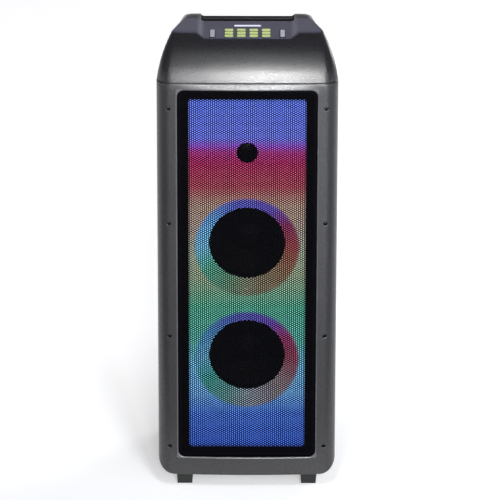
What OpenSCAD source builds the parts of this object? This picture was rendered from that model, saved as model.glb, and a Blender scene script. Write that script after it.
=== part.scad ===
// Party speaker: a free-standing tower with two woofers and a tweeter behind a perforated
// steel grille, lit from behind, with a control deck and a carry bar in its moulded top.
// Millimetres, Z up, front towards -Y, origin at the centre of the floor footprint.

/* [Cabinet] */
// Width of the cabinet
body_w = 374; // [370:2:390]
// Depth of the cabinet
body_d = 344; // [336:2:380]
// Height of the cabinet, from its underside to the seam under the top cap
body_h = 883; // [880:1:920]
// Thickness of the moulded walls
wall = 4; // [3:0.5:5]
// Radius of the upright corners, seen from above
corner_r = 28; // [22:1:34]
// Radius of the two lower corners, seen from the front
bottom_r = 35; // [26:1:44]
// How far the middle of the front stands out past its corners
crown = 6; // [3:1:9]
// Depth of the front frame, from the front to its joint with the rear cabinet
frame_d = 40; // [34:1:41]
// Share of the front's crown that fades out where the front leans back to the seam
front_fade = 0.8; // [0.5:0.05:0.9]
// Height over which the front leans back under the seam
fade_h = 24; // [18:1:30]
// Height of the groove along the seam
seam_gap = 1.6; // [1:0.2:2.4]
// Depth of the groove along the seam
seam_d = 2.2; // [1.4:0.2:2.4]
// How much nearer to the middle the cabinet's sides stand at the rear
rear_in = 44; // [38:1:46]

/* [Feet] */
// Height of a foot
foot_h = 28; // [20:1:36]
// Width of a foot where it meets the cabinet
foot_w = 35; // [30:1:40]
// Length of a foot, front to back
foot_l = 52; // [44:1:60]
// How much narrower a foot is at the floor
foot_taper = 4; // [2:1:8]
// Distance of a foot's middle from the cabinet's side
foot_in_x = 53; // [52:1:70]
// Distance of a foot's middle from the cabinet's front and rear
foot_in_y = 46; // [46:1:72]

/* [Front window] */
// Frame beside the window
frame_side = 42.5; // [41:0.5:44]
// Frame under the window
frame_bottom = 42; // [36:1:48]
// Frame over the window
frame_top = 14; // [12:0.5:22]
// Radius of the window's corners
window_r = 14; // [10:1:18]
// Dark border at the sides, between the window and the lit panel
ledge_side = 23; // [21:0.5:24]
// Dark border under the lit panel
ledge_bottom = 16; // [12:1:22]
// Dark border over the lit panel
ledge_top = 24; // [18:1:28]
// How far the border lies behind the front
ledge_set = 18; // [16:0.5:22]
// Radius of the front screws' recesses
recess_r = 4.2; // [3.8:0.1:4.6]
// Depth of the front screws' recesses
recess_d = 22; // [18:1:26]
// Distance of the front screws from the cabinet's side
screw_in = 24.5; // [22:0.5:27]
// Height of the lowest front screws over the cabinet's underside
screw_low = 66.5; // [60:0.5:72]
// Upright distance between the front screws
screw_pitch = 254; // [246:1:256]

/* [Grille] */
// How far the grille lies behind the front
grille_set = 9; // [8:0.5:11]
// Thickness of the grille's steel sheet
sheet_t = 1.2; // [1:0.1:1.6]
// Space between the grille's edge and the window
grille_gap = 0.6; // [0.4:0.1:1]
// Distance between the holes of the grille
hole_pitch = 16; // [16:1:24]
// Diameter of the grille's holes, as a share of their distance
hole_share = 0.68; // [0.6:0.02:0.76]

/* [Light panel] */
// Thickness of the light-spreading panel
diffuser_t = 3; // [2:0.5:4]
// Space between the light-spreading panel and the baffle
light_gap = 41; // [38:1:46]
// Thickness of the baffle board
baffle_t = 12; // [10:1:16]
// Outer radius of a light ring
ring_r = 109; // [108:0.5:110]
// Radius of a light ring's opening
ring_open_r = 79.5; // [77:0.5:80]
// How deep a light ring's funnel is
funnel_d = 26; // [22:1:28]
// Width of the upright light strips
strip_w = 8; // [6:0.5:8]
// Distance between the lamps on a light strip
lamp_pitch = 40; // [24:2:60]

/* [Drivers] */
// Height of the lower woofer over the cabinet's underside
woofer_low = 260; // [256:1:264]
// Distance between the two woofers
woofer_pitch = 255; // [246:1:260]
// Distance from the upper woofer to the tweeter
tweeter_up = 211; // [196:1:222]
// Outer radius of a woofer's basket
basket_r = 104; // [103.5:0.1:104.5]
// Radius of a woofer's cone
cone_r = 76; // [75:0.5:76]
// Depth of a woofer's cone
cone_d = 26; // [24:1:27]
// Radius of a woofer's dust cap
cap_r = 31; // [29:0.5:34]
// Radius of a voice coil's tube
coil_r = 26; // [25:0.2:26.2]
// Radius of a woofer's magnet
magnet_r = 56; // [52:1:66]
// Thickness of a woofer's magnet
magnet_t = 18; // [16:1:24]
// How far a woofer's cone moves to each side of rest
cone_travel = 4; // [3:0.5:4]
// Radius of the tweeter's mouth
mouth_r = 19; // [18.6:0.2:20]
// Radius of the tweeter's dome
dome_r = 12.2; // [12:0.1:12.4]

/* [Top cap] */
// Height of the top cap over the seam
cap_h = 76; // [73:1:80]
// How far the top cap's front leans back
hood_front = 107; // [104:1:110]
// How far the top cap's rear leans forward
hood_rear = 122; // [116:1:124]
// How far the top cap's sides lean in at the front
hood_side_front = 31; // [26:1:36]
// How far the top cap's sides lean in at the rear
hood_side_rear = 16; // [12:1:20]
// Share of the lean that is straight, the rest curves over
hood_straight = 0.42; // [0.36:0.02:0.5]
// Corner radius at the top of the cap
hood_r = 14; // [12:1:18]
// How far the deck lies below the rails beside it
deck_drop = 6.5; // [5.5:0.5:7]
// Half width of the flat deck
deck_half = 89; // [89:0.5:91]
// Width of the slope from the deck to a rail
rail_slope = 18; // [14:1:20]
// Thickness of the deck
deck_t = 6; // [5:0.5:8]

/* [Carry bar] */
// Where the hand slot starts, behind the middle of the depth
slot_y = 25; // [24:0.5:27]
// Width of the hand slot in front of the bar
slot_d = 21.8; // [20:0.2:26]
// Length of the hand slot
slot_w = 194; // [180:2:198]
// Depth of the hand well under the deck
well_d = 38; // [34:1:42]
// Thickness of the carry bar, top to bottom
bar_t = 14; // [12:0.5:16]
// Thickness of the carry bar, front to back
bar_d = 12.5; // [12:0.5:15]
// Rounding of the carry bar's lower edges
bar_r = 5; // [4:0.5:6]

/* [Control deck] */
// Width of the control panel
panel_w = 176; // [175:0.5:177]
// Depth of the control panel, front to back
panel_d = 101; // [100:0.5:101.5]
// Thickness of the control panel
panel_t = 2.5; // [2:0.25:3]
// Space between a panel or lens and its recess
fit_gap = 0.3; // [0.2:0.05:0.4]
// Width of a key
key_w = 18; // [16:0.5:20]
// Depth of a key, front to back
key_d = 14.6; // [13:0.2:15]
// Distance between the key columns
key_pitch_x = 25.6; // [23:0.2:26]
// Distance between the key rows
key_pitch_y = 17.6; // [17.4:0.1:18.2]
// How far the keys stand up from the panel
key_up = 1.6; // [1.4:0.1:2.4]
// Travel of a key
key_travel = 1.2; // [0.8:0.1:1.3]
// Space round a key
key_gap = 0.4; // [0.35:0.05:0.5]
// Width of a side rocker
rocker_w = 12.6; // [11:0.2:13]
// Length of a side rocker
rocker_l = 46; // [40:0.5:46.5]
// Distance of a side rocker's middle from the panel's side edge
rocker_in = 15.5; // [15:0.25:16]
// Tilt of a side rocker to each side
rocker_tilt = 4; // [2:0.5:4]
// Width of the display lens
lens_w = 55; // [46:1:60]
// Depth of the display lens, front to back
lens_d = 9; // [8:0.5:10]

/* [Rear] */
// Width of the connection panel
rear_w = 220; // [214:2:228]
// Height of the connection panel
rear_h = 116; // [110:2:130]
// Height of the connection panel's middle over the cabinet's underside
rear_up = 172; // [160:2:190]
// Inner radius of the bass port
port_r = 40; // [34:1:44]
// Length of the bass port's tube
port_l = 118; // [100:2:124]
// Height of the bass port over the cabinet's underside
port_up = 640; // [600:5:700]
// Tilt of the power switch to each side
switch_tilt = 8; // [5:0.5:9]

/* [Hidden] */
$fn = 96;
eps = 0.01;
z_body = foot_h;
z_seam = z_body + body_h;
z_top = z_seam + cap_h;
z_deck = z_top - deck_drop;
y_front = -body_d / 2;
y_rear = body_d / 2;
x_side = body_w / 2;
y_split = y_front + frame_d;
front_lean = crown * front_fade;
foot_y = y_rear - foot_in_y;
foot_screw_l = 14;
corner_steps = 8;
crown_steps = 10;
hood_layers = 10;

win_w = body_w - 2 * frame_side;
win_z0 = z_body + frame_bottom;
win_z1 = z_seam - frame_top;
win_h = win_z1 - win_z0;
win_zc = (win_z0 + win_z1) / 2;
rim_t = 4;
lit_w = win_w - 2 * ledge_side;
lit_z0 = win_z0 + ledge_bottom;
lit_z1 = win_z1 - ledge_top;
lit_h = lit_z1 - lit_z0;
lit_zc = (lit_z0 + lit_z1) / 2;
lit_r = 6;
y_grille = y_front + grille_set;
y_ledge = y_front + ledge_set;
ledge_t = 4;
y_diff = y_ledge + ledge_t;
y_baffle = y_diff + light_gap + diffuser_t;
diff_lap = 12;
screw_x = x_side - screw_in;
boss_r = 7;
edge_w = 6;
post_r = 5;
post_in = 24;

z_low = z_body + woofer_low;
z_high = z_low + woofer_pitch;
z_tweeter = z_high + tweeter_up;
ring_h = light_gap + diffuser_t + 3;
lip_z = ring_h - funnel_d;
ring_t = 2.6;
skirt_t = 2.8;
flange_t = 4;
basket_screw_r = basket_r - 5;
cut_r = basket_r - 9;
neck_z = flange_t - cone_d;
coil_reach = 42;
collar_drop = 8;
plate_drop = 30;
coil_z = neck_z - coil_reach;
collar_z = neck_z - collar_drop;
spider_t = 1;
ledge_z = collar_z - spider_t;
plate_z = neck_z - plate_drop;
plate_t = 6;
yoke_t = 8;
magnet_z = plate_z - plate_t - magnet_t;
roll_r = 7.5;
roll_mid = cone_r + roll_r;
rubber_t = 0.9;
paper_t = 1.3;
basket_t = 2.5;
plate_r = magnet_r - 6;
spider_r = plate_r + 11;
seat_w = 6;
pole_gap = 2;
vent_r = 11;
screw_head_r = 3.6;
screw_head_t = 2.8;
screw_r = 2;
hole_r = 2.2;
barrel_r = mouth_r + 2.8;
horn_flange_r = 34;
horn_screw_r = 29;
horn_flange_t = 3;
motor_r = 20;
motor_l = 26;
surround_out = basket_screw_r - screw_head_r - 0.8;

slot_lip = 4.5;
panel_y0 = slot_y - slot_lip - panel_d;
panel_yc = panel_y0 + panel_d / 2;
panel_lap = 2;
pit_gap = 0.5;
key_flange = 1;
key_row_y = panel_y0 + panel_lap + pit_gap + key_flange + key_d / 2;
rocker_y = panel_y0 + panel_lap + pit_gap + rocker_l / 2;
lens_up = 76;
lens_y = panel_y0 + lens_up;
key_flange_t = 1.2;
axle_r = 1.5;
axle_z = z_deck - 5;
lug_t = 2.5;
board_z = z_deck - 14;
board_t = 1.6;
tact_h = 4.5;
panel_r = 6;
key_r = 2;
stud_r = 3;
stud_in = 12;
rocker_x = panel_w / 2 - rocker_in;
rocker_push = 12;
stud_x = rocker_x - rocker_w / 2 - key_gap - lug_t - stud_r - 0.5;
control_w = panel_w - 24;
tact_w = 6;
lens_t = 1.5;

y_rear_in = y_rear - wall;
rear_t = 3;
pad_t = 6;
z_rear = z_body + rear_up;
z_port = z_body + port_up;
rear_r = 6;
rear_lap = 11;
rear_screw_in = 5;
port_flange = 15;
port_t = 3;
port_screw_r = port_r + port_flange - 6;
counter_d = 1.2;
rear_screw_l = 7;
stand_l = 34;
stand_r = 4;
stand_x = rear_w / 2 - 30;
stand_z = rear_h / 2 - 20;
inlet_x = -42;
inlet_w = 30;
inlet_h = 22;
inlet_d = 20;
pit_d = 16;
switch_x = -82;
switch_w = 22;
switch_h = 15;
switch_in = 7;
jack_x = [6, 36];
jack_r = 6;
jack_bore = 3.3;
jack_l = 26;
aux_x = 64;
aux_r = 3.6;
aux_bore = 1.8;
aux_l = 18;
usb_x = 88;
usb_w = 8.9;
usb_h = 3.2;
battery_w = 0.5 * body_w;
battery_d = 0.21 * body_d;
battery_h = 0.084 * body_h;
battery_y = 0.175 * body_d;
amp_in_x = 16;
amp_in_z = 10;
amp_w = rear_w - 2 * amp_in_x;
amp_h = rear_h - 2 * amp_in_z;
amp_part_h = 30;

// Outline of the tower seen from above: a crowned front, round corners and sides that draw in to the rear.
function plan(half_f, half_r, yf, yr, r, bow) =
  let (
    xf = half_f - r,
    xr = half_r - r,
    lean = atan(2 * bow / xf),
    x1 = xf + r * sin(lean),
    cf = yf + bow + r * cos(lean),
    cr = yr - r,
    turn = atan((xf - xr) / (cr - cf)),
    steps = [for (i = [0 : corner_steps]) i / corner_steps],
    front = [
      for (t = steps)
        let (a = -90 + lean + (90 - lean + turn) * t) [xf + r * cos(a), cf + r * sin(a)]
    ],
    rear = [
      for (t = steps)
        let (a = turn + (90 - turn) * t) [xr + r * cos(a), cr + r * sin(a)]
    ],
    right = concat(front, rear),
    left = [for (i = [len(right) - 1 : -1 : 0]) [-right[i][0], right[i][1]]],
    bowed = [for (i = [1 : crown_steps - 1]) let (t = 2 * i / crown_steps - 1) [x1 * t, yf + bow * t * t]]
  )
  concat(right, left, bowed);

// How far the cap has leaned in at a share s of its height.
function hood(s) = hood_straight * s + (1 - hood_straight) * pow(s, 3);

function cap_ring(s, inset) =
  plan(
    x_side - inset - hood_side_front * hood(s),
    x_side - rear_in - inset - hood_side_rear * hood(s),
    y_front + front_lean + inset + (hood_front - front_lean) * hood(s),
    y_rear - inset - hood_rear * hood(s),
    corner_r + (hood_r - corner_r) * s - inset,
    crown - front_lean
  );

// Half width of the cabinet at a depth y, between its round corners.
function half_at(y) = x_side - rear_in * (y - y_front - corner_r) / (body_d - 2 * corner_r);

function key_x(i) = (i % 4 - 1.5) * key_pitch_x;
function key_y(i) = key_row_y + floor(i / 4) * key_pitch_y;

module rounded(w, h, r) {
  square([w - 2 * r, h], center = true);
  square([w, h - 2 * r], center = true);
  for (sx = [-1, 1], sy = [-1, 1])
    translate([sx * (w / 2 - r), sy * (h / 2 - r)])
      circle(r = r);
}

// A flat shape, drawn as seen from the front, carried from y0 back to y1.
module through_y(y0, y1) {
  translate([0, y1, 0])
    rotate([90, 0, 0])
      linear_extrude(y1 - y0)
        children();
}

// Puts a piece drawn along +Z on the baffle, facing the front.
module on_baffle(z) {
  translate([0, y_baffle, z])
    rotate([90, 0, 0])
      children();
}

module around(n, r, turn = 0) {
  for (i = [0 : n - 1])
    rotate([0, 0, turn + i * 360 / n])
      translate([r, 0, 0])
        children();
}

module tube(r_out, r_in, z0, z1) {
  translate([0, 0, z0])
    difference() {
      cylinder(r = r_out, h = z1 - z0);
      translate([0, 0, -1])
        cylinder(r = r_in, h = z1 - z0 + 2);
    }
}

// Front view of the cabinet with its two round lower corners.
module elevation(inset, z1) {
  r = bottom_r - inset;
  w = body_w - 2 * inset;
  zb = z_body + inset;
  translate([-w / 2, zb + r])
    square([w, z1 - zb - r]);
  translate([-w / 2 + r, zb])
    square([w - 2 * r, r + 1]);
  for (sx = [-1, 1])
    translate([sx * (w / 2 - r), zb + r])
      circle(r = r);
}

module body_env(inset, z1) {
  intersection() {
    translate([0, 0, z_body + inset])
      linear_extrude(z1 - z_body - inset)
        polygon(plan(
          x_side - inset, x_side - rear_in - inset, y_front + inset, y_rear - inset,
          corner_r - inset, crown
        ));
    through_y(y_front - 1, y_rear + 1)
      elevation(inset, z1 + 1);
  }
}

module slab_y(y0, y1) {
  translate([-body_w, y0, 0])
    cube([2 * body_w, y1 - y0, z_seam]);
}

module front_screw_places() {
  for (sx = [-1, 1], i = [0 : 3])
    translate([sx * screw_x, 0, z_body + screw_low + i * screw_pitch])
      rotate([90, 0, 0])
        children();
}

module foot_places() {
  for (sx = [-1, 1], sy = [-1, 1])
    translate([sx * (half_at(sy * foot_y) - foot_in_x), sy * foot_y, 0])
      children();
}

// What is taken off the front where its crown fades out under the seam.
module front_fade_cut() {
  steps = 4;
  face = [
    for (i = [0 : steps])
      let (t = i / steps) [y_front + front_lean * t * t, z_seam - fade_h * (1 - t)]
  ];
  over = 1;
  translate([-body_w, 0, 0])
    rotate([90, 0, 90])
      linear_extrude(2 * body_w)
        polygon(concat(
          [[y_front - over, z_seam - fade_h]], face,
          [[y_front + front_lean, z_seam + over], [y_front - over, z_seam + over]]
        ));
}

// Screen frame round the window, with the dark border behind it and the screw bosses.
module front_frame() {
  color("#2b2b2e")
    difference() {
      union() {
        difference() {
          intersection() {
            body_env(0, z_seam);
            slab_y(y_front - 1, y_split);
          }
          body_env(wall, z_seam + 1);
        }
        intersection() {
          body_env(0, z_seam);
          union() {
            through_y(y_front - 1, y_diff)
              translate([0, win_zc])
                rounded(win_w + 2 * rim_t, win_h + 2 * rim_t, window_r + rim_t);
            front_screw_places()
              translate([0, 0, -y_baffle])
                cylinder(r = boss_r, h = y_baffle - y_front + 1);
          }
        }
      }
      front_fade_cut();
      through_y(y_front - 2, y_ledge)
        translate([0, win_zc])
          rounded(win_w, win_h, window_r);
      through_y(y_ledge - 1, y_diff + 1)
        translate([0, lit_zc])
          rounded(lit_w, lit_h, lit_r);
      front_screw_places() {
        translate([0, 0, -y_front - recess_d])
          cylinder(r = recess_r, h = recess_d + 2);
        translate([0, 0, -y_baffle - 1])
          cylinder(r = hole_r, h = y_baffle - y_front);
      }
    }
}

// Tub behind the front frame, open to the front and to the cap.
module rear_cabinet() {
  rail_w = 34;
  rail_t = 12;
  rail_y = y_baffle + baffle_t;
  rail_z = z_body + bottom_r + 6;
  rail_top = z_seam - 12;
  pad_y = y_rear - wall - pad_t + rear_t;
  pad_w = 8;
  color("#232326")
    difference() {
      union() {
        difference() {
          intersection() {
            body_env(0, z_seam);
            slab_y(y_split, y_rear + 1);
          }
          body_env(wall, z_seam + 1);
        }
        intersection() {
          body_env(wall / 2, z_seam);
          for (sx = [-1, 1])
            translate([sx * (x_side - rail_w / 2) - rail_w / 2, rail_y, rail_z])
              cube([rail_w, rail_t, rail_top - rail_z]);
        }
        translate([-rear_w / 2 - pad_w, pad_y, z_rear - rear_h / 2 - pad_w])
          cube([rear_w + 2 * pad_w, pad_t, rear_h + 2 * pad_w]);
        translate([0, pad_y, z_port])
          rotate([-90, 0, 0])
            cylinder(r = port_r + port_flange + pad_w, h = pad_t);
      }
      through_y(y_rear - rear_t, y_rear + 1)
        translate([0, z_rear])
          rounded(rear_w + 2 * fit_gap, rear_h + 2 * fit_gap, rear_r + fit_gap);
      through_y(y_rear_in - 2 * pad_t, y_rear)
        translate([0, z_rear])
          square([rear_w - 2 * rear_lap, rear_h - 2 * rear_lap], center = true);
      translate([0, 0, z_port])
        rotate([-90, 0, 0]) {
          translate([0, 0, y_rear - rear_t])
            cylinder(r = port_r + port_flange + fit_gap, h = rear_t + 1);
          translate([0, 0, y_rear_in - 2 * pad_t])
            cylinder(r = port_r + port_t + fit_gap, h = 3 * pad_t);
        }
      foot_places()
        translate([0, 0, z_body - 1])
          cylinder(r = hole_r, h = wall + 2);
      rear_screw_places()
        translate([0, 0, -2 * pad_t])
          cylinder(r = hole_r, h = 3 * pad_t);
    }
}

// Places of the screws of the connection panel and the bass port, drawn along +Y from the rear.
module rear_screw_places() {
  for (sx = [-1, 1], sz = [-1, 1])
    translate([sx * (rear_w / 2 - rear_screw_in), y_rear, z_rear + sz * (rear_h / 2 - rear_screw_in)])
      rotate([-90, 0, 0])
        children();
  for (sx = [-1, 1])
    translate([sx * (rear_w / 2 - rear_screw_in), y_rear, z_rear])
      rotate([-90, 0, 0])
        children();
  translate([0, y_rear, z_port])
    rotate([-90, 0, 0])
      around(4, port_screw_r, 45)
        children();
}

// Solid between two stacks of outlines, one outline for each level.
module skin(rings, levels) {
  n = len(rings[0]);
  m = len(rings);
  points = [for (k = [0 : m - 1], p = rings[k]) [p[0], p[1], levels[k]]];
  low = [for (i = [0 : n - 1]) i];
  high = [for (i = [n - 1 : -1 : 0]) (m - 1) * n + i];
  sides = [
    for (k = [0 : m - 2], i = [0 : n - 1])
      let (j = (i + 1) % n, a = k * n + i, b = k * n + j)
        each [[a, a + n, b], [b, a + n, b + n]]
  ];
  polyhedron(points = points, faces = concat([low, high], sides));
}

// Trough that lowers the deck between its two rails.
module deck_trough() {
  steps = 6;
  slope = [
    for (i = [0 : steps])
      [deck_half + rail_slope * i / steps, z_deck + deck_drop * (1 - cos(180 * i / steps)) / 2]
  ];
  over = z_top + 20;
  x1 = deck_half + rail_slope;
  left = [for (i = [steps : -1 : 0]) [-slope[i][0], slope[i][1]]];
  through_y(y_front, y_rear)
    polygon(concat([[-x1, over]], left, slope, [[x1, over]]));
}

// Hand well: the space in front of, under and behind the carry bar.
module hand_well() {
  y0 = slot_y + slot_d;
  y1 = y0 + bar_d;
  zb = z_deck - bar_t;
  over = z_top + 20;
  steps = 4;
  angles = [for (i = [0 : steps]) 90 * i / steps];
  z_floor = z_deck - well_d;
  y_out = y_rear + 20;
  under = concat(
    [for (a = angles) [y1 - bar_r + bar_r * cos(a), zb + bar_r - bar_r * sin(a)]],
    [for (a = angles) [y0 + bar_r - bar_r * sin(a), zb + bar_r - bar_r * cos(a)]]
  );
  outline = concat(
    [[slot_y, over], [slot_y, z_floor], [y_out, z_floor], [y_out, over], [y1, over]],
    under,
    [[y0, over]]
  );
  translate([-slot_w / 2, 0, 0])
    rotate([90, 0, 90])
      linear_extrude(slot_w)
        polygon(outline);
}

// Groove that runs round the cap's lower edge, over the seam.
module seam_groove() {
  under = 1;
  difference() {
    translate([-body_w, -body_d, z_seam - under])
      cube([2 * body_w, 2 * body_d, seam_gap + under]);
    translate([0, 0, z_seam - 2 * under])
      linear_extrude(seam_gap + 4 * under)
        polygon(cap_ring(0, seam_d));
  }
}

// Moulded cap: a hood that leans in on all sides, the deck, its rails and the carry bar.
module top_cap() {
  in_h = cap_h - deck_drop - deck_t;
  pit = 17;
  shares = [for (k = [0 : hood_layers]) k / hood_layers];
  color("#2b2b2e")
    difference() {
      union() {
        difference() {
          skin([for (s = shares) cap_ring(s, 0)], [for (s = shares) z_seam + cap_h * s]);
          skin(
            concat([cap_ring(0, wall)], [for (s = shares) cap_ring(s, wall)]),
            concat([z_seam - 1], [for (s = shares) z_seam + eps + in_h * s])
          );
        }
        intersection() {
          skin([for (s = shares) cap_ring(s, 0)], [for (s = shares) z_seam + cap_h * s]);
          translate([-slot_w / 2 - wall, slot_y - wall, z_deck - well_d - wall])
            cube([slot_w + 2 * wall, body_d, cap_h]);
        }
      }
      hand_well();
      deck_trough();
      seam_groove();
      translate([0, panel_yc, z_deck - panel_t])
        linear_extrude(panel_t + 1)
          rounded(panel_w + 2 * fit_gap, panel_d + 2 * fit_gap, panel_r);
      translate([0, panel_yc, z_deck - pit])
        linear_extrude(pit)
          square([panel_w - 2 * panel_lap, panel_d - 2 * panel_lap], center = true);
    }
}

// Perforated steel sheet with a folded edge that stands on the border.
module grille() {
  w = win_w - 2 * grille_gap;
  h = win_h - 2 * grille_gap;
  r = window_r - grille_gap;
  step_x = hole_pitch * sqrt(3) / 2;
  nx = floor((w / 2 - edge_w - hole_pitch / 2) / step_x);
  nz = floor((h - 2 * edge_w - hole_pitch) / hole_pitch);
  color("#141416") {
    through_y(y_grille, y_grille + sheet_t)
      translate([0, win_zc])
        difference() {
          rounded(w, h, r);
          for (i = [-nx : nx], j = [0 : nz - abs(i) % 2])
            translate([i * step_x, (j - nz / 2 + (abs(i) % 2) / 2) * hole_pitch])
              circle(d = hole_pitch * hole_share, $fn = 16);
        }
    through_y(y_grille + sheet_t - eps, y_ledge)
      translate([0, win_zc])
        difference() {
          rounded(w, h, r);
          rounded(w - 2 * sheet_t, h - 2 * sheet_t, r - sheet_t);
        }
  }
}

module front_screws() {
  color("#3a3a3c")
    front_screw_places() {
      translate([0, 0, -y_front - recess_d])
        cylinder(r = screw_head_r, h = screw_head_t);
      translate([0, 0, -y_baffle - baffle_t + 2])
        cylinder(r = screw_r, h = y_baffle - y_front - recess_d + baffle_t - 2 + eps);
    }
}

// Translucent sheet that carries the coloured light, behind the border.
module diffuser_panel() {
  color("#6f86d8")
    through_y(y_diff, y_diff + diffuser_t)
      difference() {
        translate([0, lit_zc])
          rounded(lit_w + 2 * diff_lap, lit_h + 2 * diff_lap, lit_r + diff_lap);
        for (z = [z_low, z_high])
          translate([0, z])
            circle(r = ring_r + 0.6);
        translate([0, z_tweeter])
          circle(r = barrel_r + 0.6);
      }
}

// Board that carries the drivers, the light strips and the posts of the light panel.
module baffle() {
  edge_x = lit_w / 2 + diff_lap - post_r - 2;
  post_z = [lit_z0 + post_in, z_low + woofer_pitch / 2, z_high + tweeter_up / 2, lit_z1 - post_in];
  color("#6b5236")
    difference() {
      union() {
        intersection() {
          body_env(wall + fit_gap, z_seam);
          slab_y(y_baffle, y_baffle + baffle_t);
        }
        for (sx = [-1, 1], z = post_z)
          translate([sx * edge_x, y_diff + diffuser_t, z])
            rotate([-90, 0, 0])
              cylinder(r = post_r, h = light_gap + eps);
      }
      for (z = [z_low, z_high])
        on_baffle(z) {
          translate([0, 0, -baffle_t - 1])
            cylinder(r = cut_r, h = baffle_t + 2);
          around(8, basket_screw_r, 22.5)
            translate([0, 0, -baffle_t - 1])
              cylinder(r = hole_r, h = baffle_t + 2);
        }
      on_baffle(z_tweeter) {
        translate([0, 0, -baffle_t - 1])
          cylinder(r = motor_r + 2, h = baffle_t + 2);
        around(4, horn_screw_r, 45)
          translate([0, 0, -baffle_t - 1])
            cylinder(r = hole_r, h = baffle_t + 2);
      }
      front_screw_places()
        translate([0, 0, -y_baffle - baffle_t - 1])
          cylinder(r = hole_r, h = baffle_t + 2);
    }
}

// Funnel of clear plastic round a woofer, with a skirt that stands on the baffle.
module light_ring(z) {
  color("#9fb4e8")
    on_baffle(z)
      rotate_extrude()
        polygon([
          [ring_r - skirt_t, 0], [ring_r, 0], [ring_r, ring_h], [ring_r - 2, ring_h],
          [ring_open_r, lip_z], [ring_open_r, lip_z - ring_t], [ring_open_r + 2, lip_z - ring_t],
          [ring_r - skirt_t, ring_h - 5.5]
        ]);
}

// Upright lamp strips on the baffle and the lamp boards round the two woofers.
module light_boards() {
  strip_x = ring_r + 1 + strip_w / 2;
  strip_z0 = lit_z0 + 10;
  strip_h = lit_h - 20;
  lamps = floor(strip_h / lamp_pitch) - 1;
  board_out = ring_r - skirt_t - 0.5;
  board_in = board_out - 8;
  color("#dfe6df") {
    for (sx = [-1, 1]) {
      translate([sx * strip_x - strip_w / 2, y_baffle - board_t, strip_z0])
        cube([strip_w, board_t, strip_h]);
      for (i = [0 : lamps])
        translate([sx * strip_x - 2.5, y_baffle - board_t - 1.5, strip_z0 + (i + 0.5) * lamp_pitch - 2.5])
          cube([5, 1.5 + eps, 5]);
    }
    for (z = [z_low, z_high])
      on_baffle(z) {
        difference() {
          tube(board_out, board_in, flange_t, flange_t + board_t);
          around(8, basket_screw_r, 22.5)
            translate([0, 0, flange_t - 1])
              cylinder(r = screw_head_r + 0.6, h = board_t + 2);
        }
        around(16, board_out - 3, 11.25)
          translate([-2, -2, flange_t + board_t - eps])
            cube([4, 4, 1.4]);
      }
  }
}

module woofer_basket(z) {
  foot_in = coil_r + 3;
  rim_in = cut_r - 6.5;
  color("#1b1b1d")
    on_baffle(z)
      difference() {
        rotate_extrude()
          polygon([
            [basket_r, flange_t], [basket_r, 0], [cut_r - 1.5, 0], [spider_r + 5, ledge_z - basket_t],
            [plate_r, plate_z], [foot_in, plate_z], [foot_in, plate_z + basket_t],
            [plate_r - 1.5, plate_z + basket_t], [spider_r + 1, ledge_z - basket_t],
            [spider_r - seat_w, ledge_z - basket_t], [spider_r - seat_w, ledge_z], [spider_r + 2.5, ledge_z],
            [rim_in, 0.5], [rim_in, flange_t]
          ]);
        for (i = [0 : 5])
          rotate([0, 0, 60 * i])
            translate([plate_r, 0, ledge_z / 2])
              rotate([0, 90, 0])
                cylinder(r = vent_r, h = basket_r);
        around(8, basket_screw_r, 22.5)
          translate([0, 0, -1])
            cylinder(r = hole_r, h = flange_t + 2);
      }
}

module woofer_magnet(z) {
  color("#4a4a4c")
    on_baffle(z)
      tube(magnet_r, coil_r + 5, magnet_z, plate_z - plate_t);
}

// Front plate and yoke with its pole, which leave the gap for the coil.
module woofer_steel(z) {
  color("#8d8f92")
    on_baffle(z) {
      tube(plate_r, coil_r + pole_gap, plate_z - plate_t, plate_z);
      translate([0, 0, magnet_z - yoke_t])
        cylinder(r = plate_r, h = yoke_t);
      translate([0, 0, magnet_z - eps])
        cylinder(r = coil_r - pole_gap, h = plate_z - magnet_z + 2);
    }
}

module woofer_cone(z) {
  t = paper_t;
  color("#0f0f10")
    on_baffle(z)
      rotate_extrude()
        polygon([
          [coil_r - 1, neck_z], [coil_r + 1.6, neck_z], [cone_r - 3.5, flange_t - t], [cone_r, flange_t - t],
          [cone_r, flange_t], [cone_r - 4.2, flange_t], [coil_r + 1, neck_z + t], [coil_r - 1, neck_z + t]
        ]);
}

module woofer_dust_cap(z) {
  t = 0.8;
  rise = 8.4;
  x0 = coil_r + 1;
  grade = (cone_d - paper_t) / (cone_r - 4.2 - x0);
  seat_z = neck_z + paper_t + 0.05;
  rim_z = seat_z + (cap_r - x0) * grade;
  ball_r = (cap_r * cap_r + rise * rise) / (2 * rise);
  color("#161617")
    on_baffle(z)
      rotate_extrude()
        intersection() {
          difference() {
            translate([0, rim_z + rise - ball_r])
              circle(r = ball_r, $fn = 240);
            translate([0, rim_z + rise - ball_r])
              circle(r = ball_r - t, $fn = 240);
          }
          polygon([
            [0, seat_z - x0 * grade], [cap_r + 6, seat_z + (cap_r + 6 - x0) * grade],
            [cap_r + 6, rim_z + 2 * rise], [0, rim_z + 2 * rise]
          ]);
        }
}

module woofer_coil(z) {
  color("#b87333")
    on_baffle(z) {
      tube(coil_r, coil_r - 1, coil_z, neck_z);
      tube(coil_r + 3, coil_r - eps, collar_z, collar_z + 1.5);
      tube(coil_r + 0.8, coil_r - eps, coil_z + 2, coil_z + 14);
    }
}

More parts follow.
